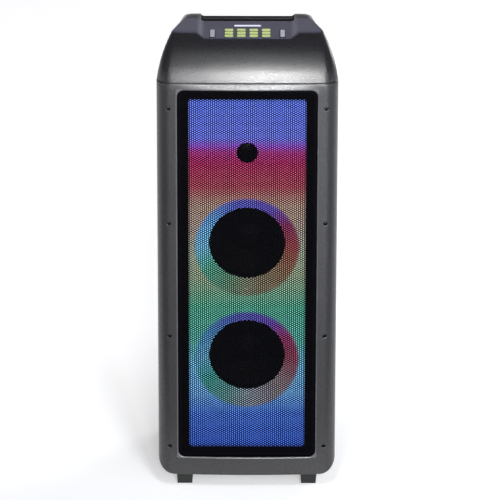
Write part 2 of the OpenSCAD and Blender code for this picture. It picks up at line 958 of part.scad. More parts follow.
// Rubber half roll between the basket and the cone.
module woofer_surround(z) {
  t = rubber_t;
  lap = 4;
  rim = roll_mid + roll_r - t;
  color("#101011")
    on_baffle(z)
      rotate_extrude() {
        intersection() {
          difference() {
            translate([roll_mid, flange_t])
              circle(r = roll_r);
            translate([roll_mid, flange_t])
              circle(r = roll_r - t);
          }
          translate([cone_r - lap, flange_t])
            square([2 * roll_r + 2 * lap, roll_r + 1]);
        }
        translate([cone_r - lap, flange_t])
          square([lap + t, t]);
        translate([rim, flange_t])
          square([surround_out - rim, t]);
      }
}

// Corrugated cloth disc that centres the coil.
module woofer_spider(z) {
  waves = 3;
  x0 = coil_r + 5;
  x1 = spider_r - seat_w - 1;
  glue = coil_r + 0.7;
  n = 8 * waves;
  lower = [for (i = [0 : n]) [x0 + (x1 - x0) * i / n, ledge_z + 1.6 * sin(360 * waves * i / n)]];
  upper = [for (i = [n : -1 : 0]) [lower[i][0], lower[i][1] + spider_t]];
  color("#c9b27a")
    on_baffle(z)
      rotate_extrude()
        polygon(concat(
          [[glue, ledge_z]], lower, [[spider_r, ledge_z], [spider_r, ledge_z + spider_t]],
          upper, [[glue, ledge_z + spider_t]]
        ));
}

// Short horn that carries the tweeter's sound through the light panel.
module tweeter_horn() {
  throat = dome_r + 1.3;
  mouth_z = ring_h - 1;
  steps = 6;
  flare = [
    for (i = [0 : steps])
      let (t = i / steps)
        [mouth_r + 1 - (mouth_r + 1 - throat) * sin(90 * t), mouth_z - (mouth_z - 6) * t]
  ];
  color("#121213")
    on_baffle(z_tweeter)
      difference() {
        rotate_extrude()
          polygon(concat(
            [
              [throat + 4, 0], [horn_flange_r, 0], [horn_flange_r, horn_flange_t], [barrel_r, horn_flange_t],
              [barrel_r, mouth_z]
            ],
            flare, [[throat, 2.6], [throat + 4, 2.6]]
          ));
        around(4, horn_screw_r, 45)
          translate([0, 0, -1])
            cylinder(r = hole_r, h = 5);
      }
}

module tweeter_dome() {
  rise = 5;
  t = 0.5;
  ball_r = (dome_r * dome_r + rise * rise) / (2 * rise);
  color("#2a2a2c")
    on_baffle(z_tweeter)
      rotate_extrude() {
        intersection() {
          difference() {
            translate([0, 1 + rise - ball_r])
              circle(r = ball_r);
            translate([0, 1 + rise - ball_r])
              circle(r = ball_r - t);
          }
          translate([0, 0.6])
            square([dome_r, rise + 2]);
        }
        translate([dome_r - 0.6, -5])
          square([0.6, 6]);
        translate([dome_r - 0.6, 0.6])
          square([1.4, 0.4]);
      }
}

module tweeter_surround() {
  color("#0c0c0d")
    on_baffle(z_tweeter)
      rotate_extrude()
        polygon([
          [dome_r + 0.2, 1], [dome_r + 0.9, 1], [dome_r + 1.5, 1.5], [dome_r + 2.1, 0], [dome_r + 5, 0],
          [dome_r + 5, 0.5], [dome_r + 2.4, 0.5], [dome_r + 1.7, 2], [dome_r + 1.2, 2], [dome_r + 0.7, 1.4],
          [dome_r + 0.2, 1.4]
        ]);
}

module tweeter_motor() {
  color("#6d6f72")
    on_baffle(z_tweeter)
      difference() {
        translate([0, 0, -motor_l])
          cylinder(r = motor_r, h = motor_l);
        tube(dome_r + 0.7, dome_r - 1.3, -8, 1);
      }
}

module driver_screw(z0) {
  translate([0, 0, z0])
    cylinder(r = screw_head_r, h = screw_head_t);
  translate([0, 0, -baffle_t + 1])
    cylinder(r = screw_r, h = z0 + baffle_t - 1 + eps);
}

module driver_screws() {
  color("#3a3a3c") {
    for (z = [z_low, z_high])
      on_baffle(z)
        around(8, basket_screw_r, 22.5)
          driver_screw(flange_t);
    on_baffle(z_tweeter)
      around(4, horn_screw_r, 45)
        driver_screw(horn_flange_t);
  }
}

module deck_at(x, y, z) {
  translate([x, y, z])
    children();
}

// Plate of the control deck with its openings, board posts and the lugs of the rockers.
module control_panel() {
  z0 = z_deck - panel_t;
  lug_x = rocker_w / 2 + key_gap + lug_t / 2;
  lug_w = 6;
  color("#4b4a52")
    difference() {
      union() {
        deck_at(0, panel_yc, z0)
          linear_extrude(panel_t)
            rounded(panel_w, panel_d, panel_r - fit_gap);
        for (sx = [-1, 1], y = [panel_y0 + stud_in, panel_y0 + panel_d - stud_in])
          deck_at(sx * stud_x, y, board_z)
            cylinder(r = stud_r, h = z0 - board_z + eps);
        for (sx = [-1, 1], sl = [-1, 1])
          deck_at(sx * rocker_x + sl * lug_x - lug_t / 2, rocker_y - lug_w / 2, axle_z - lug_w / 2)
            cube([lug_t, lug_w, z0 - axle_z + lug_w / 2 + eps]);
      }
      for (i = [0 : 11])
        deck_at(key_x(i), key_y(i), z0 - 1)
          linear_extrude(panel_t + 2)
            rounded(key_w + 2 * key_gap, key_d + 2 * key_gap, key_r + key_gap);
      for (sx = [-1, 1]) {
        deck_at(sx * rocker_x, rocker_y, z0 - 1)
          linear_extrude(panel_t + 2)
            rounded(rocker_w + 2 * key_gap, rocker_l + 1.6, 3);
        deck_at(sx * rocker_x - rocker_w, rocker_y, axle_z)
          rotate([0, 90, 0])
            cylinder(r = axle_r + 0.35, h = 2 * rocker_w);
      }
      deck_at(0, lens_y, z_deck - lens_t)
        linear_extrude(2 * lens_t)
          rounded(lens_w + 2 * fit_gap, lens_d + 2 * fit_gap, 2);
      deck_at(0, lens_y, z0 - 1)
        linear_extrude(panel_t)
          rounded(lens_w - 4, lens_d - 4, 1);
    }
}

module display_window() {
  color("#cfd6da")
    deck_at(0, lens_y, z_deck - lens_t)
      linear_extrude(lens_t)
        rounded(lens_w, lens_d, 1.8);
}

// Lit key: its cap stands in the panel, a flange under the panel holds it down.
module key(i) {
  color("#b9d63f")
    deck_at(key_x(i), key_y(i), 0) {
      translate([0, 0, z_deck - panel_t - eps])
        linear_extrude(panel_t + key_up + eps)
          rounded(key_w, key_d, key_r);
      translate([0, 0, z_deck - panel_t - key_flange_t])
        linear_extrude(key_flange_t)
          rounded(key_w + 2 * key_flange, key_d + 2 * key_flange, key_r);
      translate([0, 0, board_z + tact_h + key_travel + 0.2])
        cylinder(r = 2, h = z_deck - panel_t - key_flange_t - board_z - tact_h - key_travel);
    }
}

// Side rocker on a cross axle, pressed at its front or its rear end.
module rocker(side) {
  nib = 1.6;
  color("#c7c9cf")
    deck_at(side * rocker_x, rocker_y, 0) {
      difference() {
        translate([0, 0, axle_z + 0.5])
          linear_extrude(z_deck + key_up - axle_z - 0.5)
            rounded(rocker_w, rocker_l, 2.5);
        for (sy = [-1, 1])
          translate([0, sy * rocker_l * 0.27, z_deck + key_up + 6.2])
            sphere(r = 7);
      }
      translate([-rocker_w / 2 - key_gap - lug_t, 0, axle_z])
        rotate([0, 90, 0])
          cylinder(r = axle_r, h = rocker_w + 2 * key_gap + 2 * lug_t);
      for (sy = [-1, 1])
        translate([0, sy * rocker_push, board_z + tact_h + 1.2])
          cylinder(r = nib, h = axle_z + 0.5 - board_z - tact_h - 1.2 + eps);
    }
}

module control_board() {
  color("#1f5c3a") {
    deck_at(-control_w / 2, panel_y0 + tact_w, board_z - board_t)
      cube([control_w, panel_d - 2 * tact_w, board_t]);
    for (i = [0 : 11])
      deck_at(key_x(i) - tact_w / 2, key_y(i) - tact_w / 2, board_z - eps)
        cube([tact_w, tact_w, tact_h]);
    for (sx = [-1, 1], sy = [-1, 1])
      deck_at(sx * rocker_x - tact_w / 2, rocker_y + sy * rocker_push - tact_w / 2, board_z - eps)
        cube([tact_w, tact_w, tact_h]);
    deck_at(-lens_w / 2, lens_y - lens_d / 2, board_z - eps)
      cube([lens_w, lens_d, 6]);
  }
}

module feet() {
  module taper(length) {
    low = length - foot_taper;
    polygon([[-length / 2, foot_h], [length / 2, foot_h], [low / 2, 0], [-low / 2, 0]]);
  }
  color("#161617")
    foot_places()
      difference() {
        intersection() {
          through_y(-foot_l, foot_l)
            taper(foot_w);
          rotate([0, 0, 90])
            through_y(-foot_w, foot_w)
              taper(foot_l);
        }
        translate([0, 0, foot_h - foot_screw_l - 2])
          cylinder(r = hole_r, h = foot_screw_l + 3);
      }
}

module foot_screws() {
  color("#8d8f92")
    foot_places() {
      translate([0, 0, z_body + wall])
        cylinder(r = screw_head_r + 1, h = screw_head_t);
      translate([0, 0, foot_h - foot_screw_l])
        cylinder(r = screw_r, h = foot_screw_l + wall + eps);
    }
}

// Plate for the mains inlet, the power switch and the sockets, with the posts of the amplifier.
module rear_panel() {
  y0 = y_rear - rear_t;
  lug_w = 3;
  lug_l = 12;
  lug_h = 8;
  color("#1d1d1f")
    difference() {
      union() {
        through_y(y0, y_rear)
          translate([0, z_rear])
            rounded(rear_w, rear_h, rear_r);
        for (sx = [-1, 1], sz = [-1, 1])
          translate([sx * stand_x, y0 - stand_l, z_rear + sz * stand_z])
            rotate([-90, 0, 0])
              cylinder(r = stand_r, h = stand_l + eps);
        for (sx = [-1, 1])
          translate([switch_x + sx * (switch_w / 2 + 2) - lug_w / 2, y0 - lug_l, z_rear - lug_h / 2])
            cube([lug_w, lug_l + eps, lug_h]);
      }
      through_y(y0 - 1, y_rear + 1)
        translate([inlet_x, z_rear])
          square([inlet_w + 0.4, inlet_h + 0.4], center = true);
      through_y(y0 - 1, y_rear + 1)
        translate([switch_x, z_rear])
          square([switch_w + 0.8, switch_h + 1.6], center = true);
      translate([switch_x - switch_w, y_rear - switch_in, z_rear])
        rotate([0, 90, 0])
          cylinder(r = axle_r + 0.35, h = 2 * switch_w);
      for (x = jack_x)
        translate([x, y0 - 1, z_rear])
          rotate([-90, 0, 0])
            cylinder(r = jack_r + 0.2, h = rear_t + 2);
      translate([aux_x, y0 - 1, z_rear])
        rotate([-90, 0, 0])
          cylinder(r = aux_r + 0.2, h = rear_t + 2);
      through_y(y0 - 1, y_rear + 1)
        translate([usb_x, z_rear])
          rounded(usb_w + 0.7, usb_h + 0.8, usb_h / 2 + 0.3);
      rear_screw_places()
        translate([0, 0, -rear_t - 1])
          cylinder(r = hole_r, h = rear_t + 2);
      rear_screw_places()
        translate([0, 0, -counter_d])
          cylinder(r = screw_head_r + 0.4, h = counter_d + 1);
    }
}

// Rocker of the mains switch on its cross axle.
module power_switch() {
  dip_r = 13;
  dip_y = 18.6;
  color("#a8231f")
    translate([switch_x, y_rear - switch_in, z_rear]) {
      difference() {
        translate([-switch_w / 2, -1.5, -switch_h / 2])
          cube([switch_w, switch_in + 0.5, switch_h]);
        for (sz = [-1, 1])
          translate([-switch_w, dip_y, sz * switch_h / 3])
            rotate([0, 90, 0])
              cylinder(r = dip_r, h = 2 * switch_w);
      }
      translate([-switch_w / 2 - 3, 0, 0])
        rotate([0, 90, 0])
          cylinder(r = axle_r, h = switch_w + 6);
    }
}

// Mains inlet: a deep socket with three blades.
module ac_inlet() {
  half_w = inlet_w / 2 - 3;
  half_h = inlet_h / 2 - 3;
  bevel = 4;
  blade = [2, 9, 5];
  lap = 6;
  color("#0e0e0f")
    difference() {
      union() {
        through_y(y_rear - inlet_d, y_rear)
          translate([inlet_x, z_rear])
            square([inlet_w, inlet_h], center = true);
        through_y(y_rear - rear_t - 2, y_rear - rear_t)
          translate([inlet_x, z_rear])
            square([inlet_w + lap, inlet_h + lap], center = true);
      }
      through_y(y_rear - pit_d, y_rear + 1)
        translate([inlet_x, z_rear])
          polygon([
            [-half_w, -half_h], [half_w, -half_h], [half_w, half_h - bevel], [half_w - bevel, half_h],
            [bevel - half_w, half_h], [-half_w, half_h - bevel]
          ]);
    }
  color("#c8c8ca")
    for (p = [[-7, -2], [7, -2], [0, 2]])
      translate([inlet_x + p[0] - blade[0] / 2, y_rear - pit_d - eps, z_rear + p[1] - blade[2] / 2])
        cube(blade);
}

module socket(x, r, bore, depth) {
  collar = 3;
  translate([x, y_rear, z_rear])
    rotate([90, 0, 0])
      difference() {
        union() {
          cylinder(r = r, h = depth);
          translate([0, 0, rear_t])
            cylinder(r = r + collar, h = collar);
        }
        translate([0, 0, -1])
          cylinder(r = bore, h = depth - 2);
      }
}

module mic_jacks() {
  color("#2a2a2c")
    for (x = jack_x)
      socket(x, jack_r, jack_bore, jack_l);
}

module aux_jack() {
  color("#2a2a2c")
    socket(aux_x, aux_r, aux_bore, aux_l);
}

module usb_socket() {
  shell_d = 12;
  tongue_w = 6.6;
  tongue_t = 0.8;
  color("#b9bbbf")
    difference() {
      through_y(y_rear - shell_d, y_rear - rear_t)
        translate([usb_x, z_rear])
          rounded(usb_w + 3.1, usb_h + 3.8, 2);
      through_y(y_rear - shell_d + 2, y_rear)
        translate([usb_x, z_rear])
          difference() {
            rounded(usb_w, usb_h, usb_h / 2 - 0.1);
            square([tongue_w, tongue_t], center = true);
          }
    }
}

// Flared port with a flange in the rear wall.
module bass_port() {
  flare = 8;
  steps = 6;
  lip = [
    for (i = [0 : steps])
      let (a = 90 * i / steps)
        [port_r + flare * (1 - cos(a)), flare * sin(a)]
  ];
  color("#17171a")
    translate([0, y_rear, z_port])
      rotate([-90, 0, 0])
        difference() {
          rotate_extrude()
            polygon(concat(
              [[port_r, -port_l]],
              [for (p = lip) [p[0], p[1] - flare]],
              [
                [port_r + port_flange, 0], [port_r + port_flange, -rear_t], [port_r + port_t, -rear_t],
                [port_r + port_t, -port_l]
              ]
            ));
          around(4, port_screw_r, 45)
            translate([0, 0, -2 * pad_t]) {
              cylinder(r = hole_r, h = 3 * pad_t);
              translate([0, 0, 2 * pad_t - counter_d])
                cylinder(r = screw_head_r + 0.4, h = counter_d + 1);
            }
        }
}

module rear_screws() {
  color("#3a3a3c")
    rear_screw_places() {
      translate([0, 0, -counter_d])
        cylinder(r = screw_head_r, h = counter_d);
      translate([0, 0, -rear_screw_l])
        cylinder(r = screw_r, h = rear_screw_l - counter_d + eps);
    }
}

// Rechargeable pack that stands on the cabinet floor.
module battery_pack() {
  color("#2f3f66")
    translate([0, battery_y, z_body + wall])
      linear_extrude(battery_h)
        rounded(battery_w, battery_d, battery_d / 9);
}

// Amplifier board on the posts of the connection panel, with its heat sink and supply parts.
module amplifier_board() {
  y1 = y_rear - rear_t - stand_l;
  y2 = y1 - board_t;
  fin_pitch = amp_w / 16;
  fin_t = amp_w / 47;
  can_pitch = amp_w / 7.2;
  can_r = amp_h / 9.6;
  color("#1f5c3a") {
    translate([-amp_w / 2, y2, z_rear - amp_h / 2])
      cube([amp_w, board_t, amp_h]);
    translate([-0.37 * amp_w, y2 - amp_part_h, z_rear - 0.31 * amp_h])
      cube([0.3 * amp_w, amp_part_h + eps, 0.62 * amp_h]);
    for (i = [0 : 4])
      translate([(i + 0.5) * fin_pitch, y2 - 0.87 * amp_part_h, z_rear + 0.04 * amp_h])
        cube([fin_t, 0.87 * amp_part_h + eps, 0.4 * amp_h]);
    for (i = [0 : 2])
      translate([(i + 0.54) * can_pitch, y2 + eps, z_rear - 0.25 * amp_h])
        rotate([90, 0, 0])
          cylinder(r = can_r, h = amp_part_h);
  }
}

rear_cabinet();
front_frame();
top_cap();
grille();
diffuser_panel();
baffle();
front_screws();
feet();
foot_screws();
control_panel();
display_window();
key(0);  // key_1
key(1);  // key_2
key(2);  // key_3
key(3);  // key_4
key(4);  // key_5
key(5);  // key_6
key(6);  // key_7
key(7);  // key_8
key(8);  // key_9
key(9);  // key_10
key(10);  // key_11
key(11);  // key_12
rocker(-1);  // left_rocker
rocker(1);  // right_rocker
control_board();
light_ring(z_high);  // upper_light_ring
light_ring(z_low);  // lower_light_ring
light_boards();
woofer_basket(z_high);  // upper_basket
woofer_magnet(z_high);  // upper_magnet
woofer_steel(z_high);  // upper_steel
woofer_cone(z_high);  // upper_cone
woofer_dust_cap(z_high);  // upper_dust_cap
woofer_coil(z_high);  // upper_coil
woofer_surround(z_high);  // upper_surround
woofer_spider(z_high);  // upper_spider
woofer_basket(z_low);  // lower_basket
woofer_magnet(z_low);  // lower_magnet
woofer_steel(z_low);  // lower_steel
woofer_cone(z_low);  // lower_cone
woofer_dust_cap(z_low);  // lower_dust_cap
woofer_coil(z_low);  // lower_coil
woofer_surround(z_low);  // lower_surround
woofer_spider(z_low);  // lower_spider
tweeter_horn();
tweeter_dome();
tweeter_surround();
tweeter_motor();
driver_screws();
rear_panel();
power_switch();
ac_inlet();
mic_jacks();
aux_jack();
usb_socket();
bass_port();
rear_screws();
battery_pack();
amplifier_board();
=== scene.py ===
import math

import bpy
import numpy as np
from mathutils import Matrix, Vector


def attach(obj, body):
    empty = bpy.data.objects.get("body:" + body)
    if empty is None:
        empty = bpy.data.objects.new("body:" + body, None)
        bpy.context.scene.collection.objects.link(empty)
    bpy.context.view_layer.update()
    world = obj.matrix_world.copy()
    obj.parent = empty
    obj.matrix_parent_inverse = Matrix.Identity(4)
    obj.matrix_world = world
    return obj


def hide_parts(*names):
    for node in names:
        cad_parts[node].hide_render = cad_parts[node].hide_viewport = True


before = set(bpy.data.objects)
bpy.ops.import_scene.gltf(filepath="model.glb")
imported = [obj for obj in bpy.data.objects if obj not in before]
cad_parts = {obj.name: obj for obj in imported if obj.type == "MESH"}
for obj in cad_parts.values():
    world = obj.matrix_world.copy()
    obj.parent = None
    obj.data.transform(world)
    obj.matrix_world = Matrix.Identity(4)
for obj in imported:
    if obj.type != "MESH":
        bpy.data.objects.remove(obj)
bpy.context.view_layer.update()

# Studio. A long lens looks down on the tower from the front, as in the photograph. White paper under
# and behind the tower keeps the soft shadow at its feet; grey cloth lies before it, out of sight, with
# a pale board on it that the glossy front reflects.
studio = bpy.context.scene
studio.view_settings.view_transform = "Standard"

viewfinder = bpy.data.cameras.new("studio_camera")
viewfinder.lens = 324.0
viewfinder.sensor_width = 36.0
viewfinder.clip_end = 100.0
camera = bpy.data.objects.new("studio_camera", viewfinder)
camera.location = (0.006, -8.81027, 4.12406)
camera.rotation_mode = "ZYX"
camera.rotation_euler = (math.radians(67.5), 0.0, math.radians(0.12))
studio.collection.objects.link(camera)
studio.camera = camera


def tones(value, stops):
    """Colour that runs through the stops, pairs of place and colour, as the value goes from 0 to 1."""
    tree = value.id_data
    ramp = tree.nodes.new("ShaderNodeValToRGB")
    marks = ramp.color_ramp.elements
    while len(marks) < len(stops):
        marks.new(0.5)
    for mark, (place, colour) in zip(marks, stops):
        mark.position = place
        mark.color = (*colour, 1.0)
    tree.links.new(value, ramp.inputs["Fac"])
    return ramp.outputs["Color"]


surroundings = bpy.data.worlds.new("studio_surroundings")
studio.world = surroundings
surroundings.use_nodes = True
nodes, links = surroundings.node_tree.nodes, surroundings.node_tree.links
direction = nodes.new("ShaderNodeTexCoord")
split = nodes.new("ShaderNodeSeparateXYZ")
links.new(direction.outputs["Generated"], split.inputs[0])
pale_wall_dim_ceiling = tones(split.outputs["Z"], [
    (0.0, (0.92, 0.92, 0.92)), (0.12, (0.9, 0.9, 0.9)), (0.3, (0.46, 0.46, 0.5)),
    (0.42, (0.28, 0.28, 0.31)), (0.58, (0.1, 0.1, 0.11)), (1.0, (0.08, 0.08, 0.09))])
links.new(pale_wall_dim_ceiling, nodes["Background"].inputs["Color"])


def math_step(operation, first, second=None):
    """Result of one sum on a socket and, where it takes two values, a number or another socket."""
    tree = first.id_data
    step = tree.nodes.new("ShaderNodeMath")
    step.operation = operation
    tree.links.new(first, step.inputs[0])
    if isinstance(second, float):
        step.inputs[1].default_value = second
    elif second is not None:
        tree.links.new(second, step.inputs[1])
    return step.outputs[0]


def seen_directly(nodes):
    """One for rays that show the backdrop itself: from the camera, in a reflection or through glass."""
    path = nodes.new("ShaderNodeLightPath")
    seen = path.outputs["Is Camera Ray"]
    for ray in ("Is Glossy Ray", "Is Transmission Ray"):
        seen = math_step("MAXIMUM", seen, path.outputs[ray])
    return seen


def between(value, low, high, from_low=0.35, from_high=0.65):
    """The value's range from_low to from_high stretched to low to high."""
    tree = value.id_data
    span = tree.nodes.new("ShaderNodeMapRange")
    span.inputs["From Min"].default_value = from_low
    span.inputs["From Max"].default_value = from_high
    span.inputs["To Min"].default_value = low
    span.inputs["To Max"].default_value = high
    tree.links.new(value, span.inputs["Value"])
    return span.outputs["Result"]


floor_half = 9.0
paper_front, cloth_front, cloth_side = (-0.5, -0.26), (-4.0, -2.9), (1.9, 3.2)
paper_white, cloth_grey = (0.86, 0.86, 0.86), (0.45, 0.45, 0.46)
board_place, board_half, board_fade = (0.5, -1.9, 0.0), (1.2, 0.8, 1.0), (0.2, 1.0)
glow_low, glow_high, glow_run = 0.29, 0.62, (-0.2, 0.7)
floor_mesh = bpy.data.meshes.new("studio_floor")
floor_mesh.from_pydata(
    [(-floor_half, -floor_half, 0), (floor_half, -floor_half, 0), (floor_half, floor_half, 0),
     (-floor_half, floor_half, 0)], [], [(0, 1, 2, 3)])
studio_floor = bpy.data.objects.new("studio_floor", floor_mesh)
studio.collection.objects.link(studio_floor)
floor_paper = bpy.data.materials.new("floor_paper")
floor_paper.use_nodes = True
nodes, links = floor_paper.node_tree.nodes, floor_paper.node_tree.links
nodes.remove(nodes["Principled BSDF"])
paper = nodes.new("ShaderNodeBsdfDiffuse")
paper_glow = nodes.new("ShaderNodeEmission")
coords = nodes.new("ShaderNodeTexCoord")
place = nodes.new("ShaderNodeSeparateXYZ")
links.new(coords.outputs["Object"], place.inputs[0])
behind_front = between(place.outputs["Y"], 0.0, 1.0, *paper_front)
far_beside = between(math_step("ABSOLUTE", place.outputs["X"]), 0.0, 1.0, *cloth_side)
far_before = between(place.outputs["Y"], 1.0, 0.0, *cloth_front)
backdrop = math_step("MAXIMUM", behind_front, math_step("MAXIMUM", far_beside, far_before))
board = nodes.new("ShaderNodeMapping")
board.vector_type = "TEXTURE"
board.inputs["Location"].default_value = board_place
board.inputs["Scale"].default_value = board_half
links.new(coords.outputs["Object"], board.inputs["Vector"])
from_board = nodes.new("ShaderNodeVectorMath")
from_board.operation = "LENGTH"
links.new(board.outputs["Vector"], from_board.inputs[0])
pale = math_step("MAXIMUM", backdrop, between(from_board.outputs["Value"], 0.9, 0.0, *board_fade))
links.new(tones(pale, [(0.0, cloth_grey), (1.0, paper_white)]), paper.inputs["Color"])
glow = math_step("MULTIPLY", backdrop, between(place.outputs["Y"], glow_low, glow_high, *glow_run))
links.new(math_step("MULTIPLY", glow, seen_directly(nodes)), paper_glow.inputs["Strength"])
both = nodes.new("ShaderNodeAddShader")
links.new(paper.outputs[0], both.inputs[0])
links.new(paper_glow.outputs[0], both.inputs[1])
links.new(both.outputs[0], nodes["Material Output"].inputs["Surface"])
floor_mesh.materials.append(floor_paper)


def soft_box(name, place, aim, width, height, power, tint):
    """Rectangular studio lamp at a place, turned to shine at the aim point; sizes in metres, power in
    watts."""
    lamp = bpy.data.lights.new(name, "AREA")
    lamp.shape = "RECTANGLE"
    lamp.size, lamp.size_y = width, height
    lamp.energy = power
    lamp.color = tint
    holder = bpy.data.objects.new(name, lamp)
    holder.location = place
    holder.rotation_euler = (Vector(place) - Vector(aim)).to_track_quat("Z", "Y").to_euler()
    studio.collection.objects.link(holder)


white, cool, sky = (1.0, 1.0, 1.0), (0.95, 0.97, 1.0), (0.8, 0.88, 1.0)
front_middle, hood_middle, tower_middle = (0.0, 0.0, 0.8), (0.0, -0.12, 0.94), (0.0, 0.0, 0.6)
soft_box("front_box", (0.5, -9.3, 2.7), front_middle, 1.2, 4.6, 620.0, white)
soft_box("right_front_box", (2.1, -9.2, 2.2), front_middle, 0.9, 4.4, 400.0, cool)
soft_box("hood_box", (0.05, -0.8, 1.58), hood_middle, 0.12, 0.32, 6.2, white)
soft_box("ceiling_box", (0.04, -0.53, 1.78), hood_middle, 0.12, 0.26, 1.1, white)
soft_box("top_box", (0.05, -0.29, 2.53), hood_middle, 0.24, 0.64, 1.3, cool)
soft_box("right_box", (3.0, -1.7, 1.4), tower_middle, 0.7, 2.0, 14.0, sky)
soft_box("left_box", (-3.0, -1.7, 1.4), tower_middle, 0.7, 2.0, 6.0, cool)
soft_box("rear_box", (2.4, 2.6, 2.0), tower_middle, 1.4, 1.4, 45.0, white)
soft_box("floor_box", (0.6, -2.0, 1.2), (0.6, -2.0, 0.0), 0.9, 0.9, 18.0, (0.86, 0.9, 1.0))


# Rear cabinet. Tub of black moulded plastic with a fine leather grain, open to the front and to
# the cap; the connection panel and the bass port are let into its rear wall.
def dress(finish, *names):
    """Gives solids of the frame a finish in all their material slots."""
    for name in names:
        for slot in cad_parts[name].material_slots:
            slot.material = finish


def new_finish(name, colour, roughness, specular=0.5, metallic=0.0):
    """Material with one shader, its even values set; gives the material, its nodes, links and shader."""
    finish = bpy.data.materials.new(name)
    finish.use_nodes = True
    tree = finish.node_tree
    shader = tree.nodes["Principled BSDF"]
    shader.inputs["Base Color"].default_value = (*colour, 1.0)
    shader.inputs["Roughness"].default_value = roughness
    shader.inputs["Specular IOR Level"].default_value = specular
    shader.inputs["Metallic"].default_value = metallic
    return finish, tree.nodes, tree.links, shader


def speckle(nodes, links, size, detail=2.0, stretch=(1.0, 1.0, 1.0)):
    """Cloudy noise with patches of about the given size in metres, stretched along the axes."""
    coords = nodes.new("ShaderNodeTexCoord")
    spread = nodes.new("ShaderNodeMapping")
    spread.inputs["Scale"].default_value = stretch
    clouds = nodes.new("ShaderNodeTexNoise")
    clouds.inputs["Scale"].default_value = 1.0 / size
    clouds.inputs["Detail"].default_value = detail
    links.new(coords.outputs["Object"], spread.inputs["Vector"])
    links.new(spread.outputs["Vector"], clouds.inputs["Vector"])
    return clouds.outputs[0]


def raise_grain(shader, height, depth):
    """Bump of the given depth in metres on the shader."""
    tree = height.id_data
    bump = tree.nodes.new("ShaderNodeBump")
    bump.inputs["Distance"].default_value = depth
    tree.links.new(height, bump.inputs["Height"])
    tree.links.new(bump.outputs["Normal"], shader.inputs["Normal"])


def grained_plastic(name, colour, roughness, specular, cell, depth):
    """Moulded plastic with leather grain: rounded cells of the given size with finer noise over them make
    the bump and make the gloss uneven; the colour drifts a little in wide soft patches."""
    finish, nodes, links, shader = new_finish(name, colour, roughness, specular)
    coords = nodes.new("ShaderNodeTexCoord")
    cells = nodes.new("ShaderNodeTexVoronoi")
    cells.feature = "SMOOTH_F1"
    cells.inputs["Scale"].default_value = 1.0 / cell
    links.new(coords.outputs["Object"], cells.inputs["Vector"])
    grain = math_step("ADD", cells.outputs["Distance"], speckle(nodes, links, 0.45 * cell))
    raise_grain(shader, grain, depth)
    links.new(between(grain, roughness - 0.05, roughness + 0.06, 0.5, 1.1), shader.inputs["Roughness"])
    links.new(between(grain, 0.75 * specular, specular, 1.1, 0.5), shader.inputs["Specular IOR Level"])
    drift = speckle(nodes, links, 0.05, 4.0)
    dark = tuple(0.85 * c for c in colour)
    light = tuple(1.2 * c for c in colour)
    links.new(tones(drift, [(0.3, dark), (0.7, light)]), shader.inputs["Base Color"])
    return finish


moulded_black, leather_cell, leather_depth = (0.005, 0.005, 0.0065), 0.0034, 0.00008
shell_black = grained_plastic("shell_black", moulded_black, 0.3, 1.0, leather_cell, leather_depth)
dress(shell_black, "rear_cabinet")

# Front frame. One moulding round the window: it is crowned from side to side, rolls back at the
# corners and fades back under the seam, and has a soft lip at the window and eight screw pits.
half_w, y_nose, y_joint, y_floor = 187.0, -172.0, -132.0, -150.0
corner_r, low_r, crown, fade, fade_h = 28.0, 35.0, 6.0, 4.8, 24.0
z_low, z_seam = 28.0, 911.0
win_x, win_low, win_high, win_r = 144.5, 70.0, 897.0, 14.0
lit_x, lit_low, lit_high, lit_r = 121.5, 86.0, 873.0, 6.0
y_ledge, lip_r, hem_r, seam_r = -154.0, 2.6, 3.0, 1.0
pit_x, pit_z = 162.5, np.array([94.5, 348.5, 602.5, 856.5])
pit_r, pit_lip, pit_half, joint_draw = 4.2, 0.8, 9.0, 0.62

flat_x = half_w - corner_r
lean = math.atan(2 * crown / flat_x)
crown_x = flat_x + corner_r * math.sin(lean)
corner_y = y_nose + crown + corner_r * math.cos(lean)
side_run = crown_x + corner_r * (math.pi / 2 - lean)


def front_skin(run, z, back=0.0):
    """Front of the cabinet at a run from the middle and a height: seen from above a parabola of the
    crown's height, then a round corner; under the seam most of the crown fades with the height's square."""
    turn = lean + np.clip(np.abs(run) - crown_x, 0, None) / corner_r
    rolled = np.abs(run) > crown_x
    x = np.where(rolled, np.sign(run) * (flat_x + corner_r * np.sin(turn)), run)
    bow = (run / crown_x) ** 2
    y = np.where(rolled, corner_y - corner_r * np.cos(turn), y_nose + crown * bow)
    y = y + fade * np.clip((z - z_seam + fade_h) / fade_h, 0, 1) ** 2 * np.clip(1 - bow, 0, 1)
    return np.stack([x, y + back, z + 0 * x], -1)


def run_of(x):
    """Run from the middle at which the front reaches a distance x from the centre line."""
    turn = np.arcsin(np.clip((np.abs(x) - flat_x) / corner_r, -1, 1))
    return np.where(np.abs(x) > crown_x, np.sign(x) * (crown_x + corner_r * (turn - lean)), x)


def quads(rows, columns, closed=False):
    """Squares of a grid of points, row by row; closed joins the last column to the first."""
    r = np.arange(rows - 1)[:, None]
    c = np.arange(columns if closed else columns - 1)[None, :]
    d = (c + 1) % columns
    corners = [r * columns + c, r * columns + d, (r + 1) * columns + d, (r + 1) * columns + c]
    return np.stack(np.broadcast_arrays(*corners), -1)


